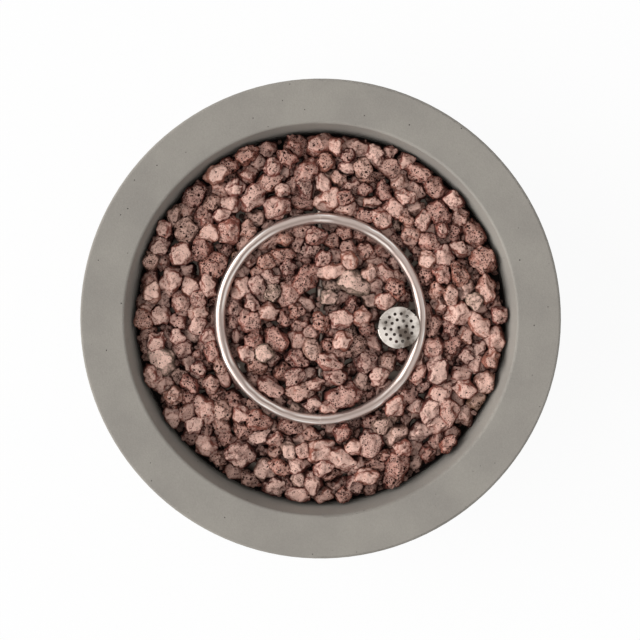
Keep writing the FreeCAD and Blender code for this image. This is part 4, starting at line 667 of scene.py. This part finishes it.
def dress(finish: Finish, *nodes: str) -> None:
    """Give CAD nodes that stay in view their finish.

    Args:
        finish: Finish of the nodes.
        nodes: Names of the CAD nodes.
    """
    for node in nodes:
        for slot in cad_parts[node].material_slots:
            slot.material = finish.material()
        LOG.info("%s: %s", node, finish.name)


@dataclass(frozen=True)
class Lumps:
    """Swellings and dips of a rock, by their width and height."""

    size: float
    height: float

    def at(self, place: Vector) -> float:
        """Height of a point on the rock above or below its even face."""
        return noise.noise(place / self.size) * self.height


@dataclass(frozen=True)
class Dents:
    """Round hollows that lie scattered through the rock."""

    spacing: float
    radius: float
    depth: float

    def at(self, place: Vector, share: float = 1.0) -> float:
        """Measure how far inside one of the hollows a point lies.

        Args:
            place: Point on the rock.
            share: Share of their full radius that the hollows have here.

        Returns:
            0 outside the hollows, rising to 1 at the middle of one.
        """
        near = noise.voronoi(place / self.spacing)[0][0] * self.spacing
        return max(0.0, 1 - (near / (self.radius * share)) ** 2)


@dataclass(frozen=True)
class RockChips:
    """Small broken chips that lie wherever a gap among the rocks shows the pan or its tubes, and carry
    painted shade that darkens the gaps.
    """

    tries: int = 3000
    radius: float = 353 * MM
    above: float = 100 * MM
    top: float = 323 * MM
    size: tuple[float, float] = (4.5 * MM, 8 * MM)
    flatness: tuple[float, float] = (0.6, 0.9)
    tint_range: float = 0.9
    lift: float = 0.6
    crumple: float = 0.5
    crumple_size: float = 4 * MM
    sunk: float = 0.5 * MM
    openness: float = 0.7
    # Painted shade that the chips carry, which darkens the gaps among the rocks.
    shade: float = 0.7

    def strewn(
        self, level: float, covers: list[bpy.types.Mesh], chance: random.Random
    ) -> bpy.types.Mesh:
        """Strew the chips over the pan.

        Args:
            level: Height of the pan.
            covers: Meshes that chips lie on or that hide the pan.
            chance: Seeded source of places and sizes.

        Returns:
            The mesh of the chips.
        """
        covered = bmesh.new()
        for mesh in covers:
            covered.from_mesh(mesh)
        tree = BVHTree.FromBMesh(covered)
        covered.free()
        shape = bmesh.new()
        tint = shape.verts.layers.float.new("rock_tint")
        pores = shape.verts.layers.float.new("rock_pores")
        painted_shade = shape.verts.layers.float.new("rock_hollow")
        for _ in range(self.tries):
            out = self.radius * math.sqrt(chance.random())
            turn = math.tau * chance.random()
            place = Vector((out * math.cos(turn), out * math.sin(turn), level))
            hit = tree.ray_cast(place + Vector((0, 0, self.above)), Vector((0, 0, -1)))[0]
            size = chance.uniform(*self.size)
            spin = Matrix.Rotation(math.tau * chance.random(), 4, "Z")
            narrow = chance.uniform(*self.flatness)
            low = chance.uniform(*self.flatness)
            squash = Matrix.Diagonal((1.0, narrow, low, 1.0))
            colour = self.tint_range * chance.random()
            if hit is None or hit.z > self.top:
                continue
            lift = Matrix.Translation(hit + Vector((0, 0, self.lift * size)))
            made = bmesh.ops.create_icosphere(
                shape, subdivisions=1, radius=size, matrix=lift @ spin @ squash
            )
            for vert in made["verts"]:
                rough = noise.noise(vert.co / self.crumple_size)
                vert.co += (vert.co - lift.translation) * self.crumple * rough
                vert.co.z = max(vert.co.z, hit.z - self.sunk)
                vert[tint] = colour
                vert[pores] = self.openness
                vert[painted_shade] = self.shade
        return finished(shape, "lava_rock_chips", smooth=False)


@dataclass
class LavaRockBed:
    """Loose lava rocks over the pan, each one lumpy and holed in its own way."""

    nodes: tuple[str, ...] = (
        "lava_rocks_inner_front", "lava_rocks_inner_rear", "lava_rocks_outer_1", "lava_rocks_outer_2",
        "lava_rocks_outer_3", "lava_rocks_outer_4", "lava_rocks_outer_5", "lava_rocks_outer_6",
    )
    # From facets to worn edges.
    same_point: float = 0.02 * MM
    flat_within: float = math.radians(3)
    least_edge: float = 2.2 * MM
    levels: int = 3
    wear: int = 7
    wear_factor: float = 0.5
    # How far a rock is jogged out of its even shape, and drawn out among its neighbours.
    jog_size: float = 15 * MM
    jog: float = 2.6 * MM
    jog_inwards: float = 0.5
    apart: tuple[float, float, float] = (0.0, 31.7, 67.3)
    drawn: tuple[float, float] = (1.0, 1.35)
    thinned: float = 0.4
    lines: int = 12
    crowd: float = 75 * MM
    fixed_weight: int = 2
    headed_for: float = 0.4
    ring: tuple[float, float] = (RING_RADIUS, TUBE_RADIUS)
    hood: tuple[float, float, float] = (150 * MM, -15.5 * MM, 41 * MM)
    wall: float = 358 * MM
    # The broken surface.
    swell: float = 1.7 * MM
    lump: Lumps = Lumps(16 * MM, 3.6 * MM)
    knob: Lumps = Lumps(6 * MM, 1.6 * MM)
    bite: Dents = Dents(25 * MM, 10 * MM, 5 * MM)
    pit: Dents = Dents(9 * MM, 3.4 * MM, 2.6 * MM)
    openness: tuple[float, float] = (0.55, 1.05)
    # How dark the painted shade makes hollows, low rocks and undersides.
    pit_shade: float = 0.6
    bite_shade: float = 0.2
    deep_shade: float = 0.85
    under_shade: float = 0.42
    darkest: float = 0.95
    bed_level: float = 341 * MM
    bed_fade: float = 26 * MM
    # Sides and undersides that face up less than this get painted shade.
    under_shade_from: float = 0.5
    pan_level: float = 299 * MM
    chips: RockChips = RockChips()
    seed: int = 36

    def build(self) -> None:
        """Make one piece for each CAD node of rocks, then strew chips in the gaps."""
        chance = random.Random(self.seed)
        shapes = [self.blank(node) for node in self.nodes]
        heaps = [self.rocks(shape) for shape in shapes]
        middles = [self.middle(rock) for heap in heaps for rock in heap]
        roughs = []
        for node, shape, heap in zip(self.nodes, shapes, heaps):
            self.vary(shape, heap, chance)
            for rock in heap:
                self.draw_out(rock, middles, chance)
            rough = self.rounded(node, shape)
            self.weather(rough)
            add_piece(node + "_rough", rough, "fire_bowl", SCORIA, (node,))
            roughs.append(rough)
        others = [node.data for name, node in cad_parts.items() if name not in self.nodes]
        strewn = self.chips.strewn(self.pan_level, others + roughs, chance)
        add_piece("lava_rock_chips", strewn, "fire_bowl", SCORIA)

    def blank(self, node: str) -> bmesh.types.BMesh:
        """Copy a node's faceted rocks and merge each one to whole faces.

        Args:
            node: CAD node of rocks.

        Returns:
            The shape of the blanks.
        """
        shape = bmesh.new()
        shape.from_mesh(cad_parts[node].data)
        bmesh.ops.remove_doubles(shape, verts=shape.verts, dist=self.same_point)
        bmesh.ops.dissolve_limit(
            shape, angle_limit=self.flat_within, verts=shape.verts, edges=shape.edges
        )
        bmesh.ops.dissolve_degenerate(shape, dist=self.least_edge, edges=shape.edges)
        for layer in ("rock_tint", "rock_pores"):
            shape.verts.layers.float.new(layer)
        return shape

    @staticmethod
    def rocks(shape: bmesh.types.BMesh) -> list[list[bmesh.types.BMVert]]:
        """Sort a shape's vertices into its separate rocks.

        Args:
            shape: Merged rocks of one node.

        Returns:
            The vertices of each rock.
        """
        left = set(shape.verts)
        heap = []
        for first in shape.verts:
            if first not in left:
                continue
            left.discard(first)
            rock = [first]
            for vert in rock:
                near = [edge.other_vert(vert) for edge in vert.link_edges]
                fresh = [other for other in near if other in left]
                left.difference_update(fresh)
                rock.extend(fresh)
            heap.append(rock)
        return heap

    @staticmethod
    def middle(rock: list[bmesh.types.BMVert]) -> Vector:
        """Mean place of a rock's corners."""
        return sum((vert.co for vert in rock), Vector()) / len(rock)

    def vary(
        self, shape: bmesh.types.BMesh, heap: list[list[bmesh.types.BMVert]], chance: random.Random
    ) -> None:
        """Give each rock a tint and a share of gas holes of its own.

        Args:
            shape: Merged rocks of one node.
            heap: The vertices of each rock.
            chance: Seeded source of the differences.
        """
        tint = shape.verts.layers.float["rock_tint"]
        pores = shape.verts.layers.float["rock_pores"]
        for rock in heap:
            shade = chance.random()
            share = chance.uniform(*self.openness)
            for vert in rock:
                vert[tint] = shade
                vert[pores] = share

    def draw_out(
        self, rock: list[bmesh.types.BMVert], middles: list[Vector], chance: random.Random
    ) -> None:
        """Make a rock uneven, longer towards open room and thinner towards what lies close.

        Args:
            rock: The rock's vertices, moved in place.
            middles: Middles of all rocks.
            chance: Seeded source of lengths.
        """
        middle = self.middle(rock)
        close = [place - middle for place in middles if 0 < (place - middle).length < self.crowd]
        flat = middle.xy.to_3d()
        out = flat.normalized()
        to_ring = self.ring[0] - flat.length
        to_hood = Vector(self.hood[:2]).to_3d() - flat
        kept_off = [
            out * math.copysign(max(abs(to_ring) - self.ring[1], MM), to_ring),
            out * max(self.wall - flat.length, MM),
            to_hood.normalized() * max(to_hood.length - self.hood[2], MM),
        ]
        first = chance.random()
        length = chance.uniform(*self.drawn)
        turns = [math.pi * (first + step / self.lines) for step in range(self.lines)]
        ways = [Vector((math.cos(turn), math.sin(turn), 0)) for turn in turns]
        line = min(ways, key=lambda way: self.crowding(way, close + kept_off * self.fixed_weight))
        reach = length * max((vert.co - middle).xy.length for vert in rock)
        in_reach = [off for off in kept_off if off.length < reach]
        if any(abs(off.dot(line)) > self.headed_for * off.length for off in in_reach):
            length = 1.0
        beside = Vector((-line.y, line.x, 0))
        shifts = [Vector((shift, 0, 0)) for shift in self.apart]
        for vert in rock:
            off = vert.co - middle
            along = off.dot(line)
            aside = off.dot(beside)
            vert.co += line * along * (length - 1) + beside * aside * (length ** -self.thinned - 1)
            spot = vert.co / self.jog_size
            jog = Vector([noise.noise(spot + shift) for shift in shifts]) * self.jog
            vert.co += jog - off.normalized() * jog.length * self.jog_inwards

    @staticmethod
    def crowding(way: Vector, offs: list[Vector]) -> float:
        """Sum up how near things lie along a way.

        Args:
            way: Unit vector to either side of the rock.
            offs: Where the things lie, from the rock's middle.

        Returns:
            A sum that is lowest where most room is open.
        """
        return sum((off.dot(way) / off.length_squared) ** 2 for off in offs)

    def rounded(self, node: str, shape: bmesh.types.BMesh) -> bpy.types.Mesh:
        """Divide the facets and wear their edges round.

        Args:
            node: CAD node of rocks.
            shape: The faceted rocks, freed here.

        Returns:
            The rounded mesh.
        """
        blank = finished(shape, node + "_blank", smooth=False)
        if "custom_normal" in blank.attributes:
            blank.attributes.remove(blank.attributes["custom_normal"])
        holder = bpy.data.objects.new(blank.name, blank)
        bpy.context.scene.collection.objects.link(holder)
        divided = holder.modifiers.new("divided", "SUBSURF")
        divided.subdivision_type = "SIMPLE"
        divided.levels = self.levels
        divided.render_levels = self.levels
        worn = holder.modifiers.new("worn", "SMOOTH")
        worn.factor = self.wear_factor
        worn.iterations = self.wear
        graph = bpy.context.evaluated_depsgraph_get()
        mesh = bpy.data.meshes.new_from_object(holder.evaluated_get(graph))
        bpy.data.objects.remove(holder)
        bpy.data.meshes.remove(blank)
        mesh.shade_smooth()
        return mesh

    def weather(self, mesh: bpy.types.Mesh) -> None:
        """Push lumps out of the rocks, sink gas holes into them and store their painted shade.

        Args:
            mesh: Rounded mesh, changed in place.
        """
        pores = mesh.attributes["rock_pores"].data
        painted_shade = mesh.attributes.new("rock_hollow", "FLOAT", "POINT").data
        moved = []
        for vert in mesh.vertices:
            place = vert.co
            # Painted shade: darker in pits and bites, on rocks low in the bed and on sides that face away
            # from above.
            pit = self.pit.at(place, pores[vert.index].value)
            bite = self.bite.at(place)
            deep = min(1.0, max(0.0, (self.bed_level - place.z) / self.bed_fade))
            under = max(0.0, 1 - max(0.0, vert.normal.z) / self.under_shade_from)
            shade = (
                self.pit_shade * pit + self.bite_shade * bite
                + self.deep_shade * deep + self.under_shade * under
            )
            painted_shade[vert.index].value = min(self.darkest, shade)
            out = self.swell + self.lump.at(place) + self.knob.at(place)
            moved.append(place + vert.normal * (out - pit * self.pit.depth - bite * self.bite.depth))
        for vert, place in zip(mesh.vertices, moved):
            vert.co = (place.x, place.y, max(place.z, self.pan_level))
        mesh.update()


@dataclass
class RingBurner:
    """Stainless ring in two halves with its feed, and the weld beads at the halves' seams."""

    ring_radius: float = RING_RADIUS
    ring_level: float = 335 * MM
    tube_radius: float = TUBE_RADIUS
    bead_width: float = 1.0 * MM
    bead_flatness: float = 0.5
    bead_proud: float = 0.3 * MM
    bead_sides: int = 10
    ripples: int = 26
    ripple_steps: int = 4
    ripple: float = 0.25 * MM

    def build(self) -> None:
        """Weld the seams and dress the burner."""
        for name, side in (("seam_weld_rear", 1), ("seam_weld_front", -1)):
            mesh = self.bead(name, Vector((0, side * self.ring_radius, self.ring_level)))
            add_piece(name, mesh, "fire_bowl", RING_STEEL)
        dress(RING_STEEL, "burner_ring_left", "burner_ring_right")
        dress(FEED_STEEL, "burner_risers", "burner_cross_tube", "burner_hub")
        dress(ZINC, "hub_locknut", "pan_screws")
        dress(HOOD_STEEL, "ring_posts")
        dress(PAN_STEEL, "burner_pan")

    def bead(self, name: str, centre: Vector) -> bpy.types.Mesh:
        """Turn a rippled bead round the tube.

        Args:
            name: Name of the mesh.
            centre: Middle of the tube at its seam.

        Returns:
            The mesh of the bead.
        """
        shape = bmesh.new()
        bmesh.ops.create_circle(shape, segments=self.bead_sides, radius=self.bead_width)
        radius = self.tube_radius + self.bead_proud - self.bead_width * self.bead_flatness
        flat = Matrix.Diagonal((1.0, self.bead_flatness, 1.0, 1.0))
        bmesh.ops.transform(shape, matrix=Matrix.Translation((0, radius, 0)) @ flat, verts=shape.verts)
        bmesh.ops.spin(
            shape, geom=shape.verts[:] + shape.edges[:], cent=(0, 0, 0), axis=(1, 0, 0),
            angle=math.tau, steps=self.ripples * self.ripple_steps, use_merge=True,
        )
        bmesh.ops.remove_doubles(shape, verts=shape.verts, dist=WELD)
        bmesh.ops.recalc_face_normals(shape, faces=shape.faces)
        for vert in shape.verts:
            turn = math.atan2(vert.co.z, vert.co.y)
            vert.co.x += self.ripple * math.sin(turn * self.ripples)
        bmesh.ops.translate(shape, verts=shape.verts, vec=centre)
        return finished(shape, name)


@dataclass
class Igniter:
    """Perforated hood over the spark electrode and the flame sensor."""

    def build(self) -> None:
        """Dress the hood and what stands under it."""
        dress(HOOD_STEEL, "igniter_hood", "hood_screws")
        dress(FEED_STEEL, "igniter_base", "electrode_rod", "thermocouple_probe")
        dress(ALUMINA, "electrode_insulator")
        dress(SILICONE, "igniter_lead")
        dress(COPPER, "thermocouple_lead")


@dataclass
class CoilSpring:
    """Compression spring wound from round wire, as long and as wide as its CAD sleeve."""

    node: str
    body: str
    axis: tuple[float, float, float]
    pitch: float = 1.9 * MM
    wire_sides: int = 10
    steps: int = 28

    def build(self) -> None:
        """Wind the spring and show it in place of the sleeve."""
        add_piece(self.node + "_coil", self.wound(), self.body, SPRING, (self.node,))

    def wound(self) -> bpy.types.Mesh:
        """Turn a wire section round the sleeve's axis while it climbs.

        Returns:
            The mesh of the spring.
        """
        places = [vert.co.copy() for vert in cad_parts[self.node].data.vertices]
        middle = sum(places, Vector()) / len(places)
        axis = Vector(self.axis).normalized()
        along = [(place - middle).dot(axis) for place in places]
        around = [(place - middle - axis * step).length for place, step in zip(places, along)]
        wire = (max(around) - min(around)) / 2
        length = max(along) - min(along) - 2 * wire
        turns = max(2, round(length / self.pitch))
        shape = bmesh.new()
        bmesh.ops.create_circle(shape, segments=self.wire_sides, radius=wire)
        upright = Matrix.Rotation(math.pi / 2, 4, "X")
        out = Matrix.Translation((min(around) + wire, 0, min(along) + wire))
        bmesh.ops.transform(shape, matrix=out @ upright, verts=shape.verts)
        bmesh.ops.spin(
            shape, geom=shape.verts[:] + shape.edges[:], cent=(0, 0, 0), axis=(0, 0, 1),
            dvec=(0, 0, length / (turns * self.steps)), angle=math.tau * turns, steps=turns * self.steps,
            use_merge=False,
        )
        bmesh.ops.remove_doubles(shape, verts=shape.verts, dist=WELD)
        bmesh.ops.holes_fill(shape, edges=[edge for edge in shape.edges if edge.is_boundary])
        bmesh.ops.recalc_face_normals(shape, faces=shape.faces)
        turned = axis.to_track_quat("Z", "Y").to_matrix().to_4x4()
        bmesh.ops.transform(shape, matrix=Matrix.Translation(middle) @ turned, verts=shape.verts)
        return finished(shape, self.node + "_coil")


@dataclass
class ControlPanel:
    """Plate with the gas knob and the spark button, which move square to it."""

    outward: tuple[float, float, float] = (0.0, -0.965697, -0.259677)

    def build(self) -> None:
        """Dress the plate, the knob and the button, and wind their springs."""
        dress(PANEL, "control_panel")
        dress(BLACK_STEEL, "panel_screws")
        dress(CHROME, "knob_bezel")
        dress(KNOB, "control_knob")
        dress(POINTER, "knob_pointer")
        dress(BARREL, "igniter_barrel", "igniter_nut")
        dress(BUTTON, "igniter_button")
        dress(BATTERY, "igniter_battery")
        CoilSpring("stem_spring", "gas_plug", self.outward).build()
        CoilSpring("igniter_spring", "fire_bowl", self.outward).build()
        dress(ZINC, "igniter_terminals", "valve_stem", "valve_panel_nut")


@dataclass
class GasTrain:
    """Inlet, lines, valve, orifice and air mixer under the pan."""

    def build(self) -> None:
        """Dress the gas train."""
        dress(CASTING, "air_mixer", "valve_body", "valve_bonnet")
        dress(BRASS, "gas_orifice", "orifice_elbow", "flare_nuts", "gas_inlet_fitting", "inlet_locknut")
        dress(BRASS, "thermocouple_nut", "valve_plug")
        dress(TUBE, "burner_gas_line", "supply_line")
        dress(HOOD_STEEL, "air_shutter")
        dress(ZINC, "shutter_lock_screw", "bonnet_screws")


@dataclass
class Bowl:
    """Cast bowl on its four feet."""

    def build(self) -> None:
        """Dress the bowl and the feet."""
        dress(CONCRETE, "concrete_bowl")
        dress(RUBBER, "foot_pads")
        dress(ZINC, "foot_screws")


@dataclass
class Studio:
    """Pale floor, one soft lamp from the left, even light all round, and the camera overhead."""

    aim: tuple[float, float, float] = (-0.0011, 0.0006, 0.376)
    distance: float = 3.2
    tilt: float = 3.0
    lens: float = 94.66
    key_from: tuple[float, float, float] = (-1.0, -0.04, 0.58)
    key_angle: float = 70.0
    key_level: float = 0.46
    key_distance: float = 4.0
    sky_level: float = 0.54
    white: str = "#ffffff"
    floor_paint: str = "#f4f4f4"
    floor_white: float = 0.93
    floor_size: float = 8.0
    floor_gap: float = 0.2 * MM
    sensor: float = 36.0
    farthest: float = 50.0

    def build(self) -> None:
        """Set up the stage."""
        bpy.context.scene.view_settings.view_transform = "Standard"
        self.lay_floor()
        self.hang_lamp()
        self.fill_sky()
        self.place_camera()

    def seen(self, tree: bpy.types.NodeTree, share: float) -> bpy.types.NodeSocket:
        """Tell where the white background is looked at, directly or in a reflection.

        Args:
            tree: Node tree that asks.
            share: Value given there.

        Returns:
            A socket that holds the share there and 0 elsewhere.
        """
        path = add_node(tree, "LightPath").outputs
        glossy = add_node(
            tree, "Math", {"operation": "MAXIMUM"},
            {0: path["Is Camera Ray"], 1: path["Is Glossy Ray"]},
        )
        through = add_node(
            tree, "Math", {"operation": "MAXIMUM"}, {0: glossy.outputs[0], 1: path["Is Transmission Ray"]}
        )
        shared = add_node(tree, "Math", {"operation": "MULTIPLY", 1: share}, {0: through.outputs[0]})
        return shared.outputs[0]

    def lay_floor(self) -> None:
        """Lay a white floor that keeps a pale shadow."""
        shape = bmesh.new()
        bmesh.ops.create_grid(shape, x_segments=2, y_segments=2, size=self.floor_size)
        bmesh.ops.translate(shape, verts=shape.verts, vec=(0, 0, -self.floor_gap))
        mesh = finished(shape, "floor", smooth=False)
        paint = bpy.data.materials.new("matt_white_floor")
        paint.use_nodes = True
        tree = paint.node_tree
        tree.nodes.clear()
        matt = add_node(tree, "BsdfDiffuse", {"Color": linear(self.floor_paint)})
        white = add_node(tree, "Emission", {"Color": linear(self.white), "Strength": 1.0})
        mixed = add_node(
            tree, "MixShader",
            links={0: self.seen(tree, self.floor_white), 1: matt.outputs[0], 2: white.outputs[0]},
        )
        add_node(tree, "OutputMaterial", links={"Surface": mixed.outputs[0]})
        mesh.materials.append(paint)
        floor = bpy.data.objects.new("floor", mesh)
        bpy.context.scene.collection.objects.link(floor)

    def hang_lamp(self) -> None:
        """Hang a far soft lamp that gives a level white surface its share of the light."""
        towards = Vector(self.key_from).normalized()
        lamp = bpy.data.lights.new("key_lamp", "SUN")
        lamp.angle = math.radians(self.key_angle)
        lamp.energy = self.key_level * math.pi / towards.z
        holder = bpy.data.objects.new("key_lamp", lamp)
        holder.location = towards * self.key_distance
        holder.rotation_mode = "QUATERNION"
        holder.rotation_quaternion = towards.to_track_quat("Z", "Y")
        bpy.context.scene.collection.objects.link(holder)

    def fill_sky(self) -> None:
        """Light evenly from all round, and show white behind the bowl."""
        sky = bpy.data.worlds.new("studio")
        sky.use_nodes = True
        tree = sky.node_tree
        tree.nodes.clear()
        light = add_node(tree, "Background", {"Color": linear(self.white), "Strength": self.sky_level})
        white = add_node(tree, "Background", {"Color": linear(self.white), "Strength": 1.0})
        mixed = add_node(
            tree, "MixShader", links={0: self.seen(tree, 1.0), 1: light.outputs[0], 2: white.outputs[0]}
        )
        add_node(tree, "OutputWorld", links={"Surface": mixed.outputs[0]})
        bpy.context.scene.world = sky

    def place_camera(self) -> None:
        """Look down on the bowl from a little behind its middle, with its rear at the top."""
        camera = bpy.data.cameras.new("camera")
        camera.lens = self.lens
        camera.sensor_width = self.sensor
        camera.clip_end = self.farthest
        tilt = math.radians(self.tilt)
        back = Vector((0, math.sin(tilt), math.cos(tilt)))
        right = Vector((0, 1, 0)).cross(back).normalized()
        turn = Matrix((right, back.cross(right), back)).transposed()
        holder = bpy.data.objects.new("camera", camera)
        holder.matrix_world = Matrix.Translation(Vector(self.aim) + back * self.distance) @ turn.to_4x4()
        bpy.context.scene.collection.objects.link(holder)
        bpy.context.scene.camera = holder


def main() -> None:
    """Build and dress the fire bowl, then set up the studio."""
    logging.basicConfig(level=logging.INFO, format="%(name)s: %(message)s")
    for part in (Bowl(), LavaRockBed(), RingBurner(), Igniter(), ControlPanel(), GasTrain(), Studio()):
        LOG.info("building %s", type(part).__name__)
        part.build()


if __name__ == "__main__":
    main()
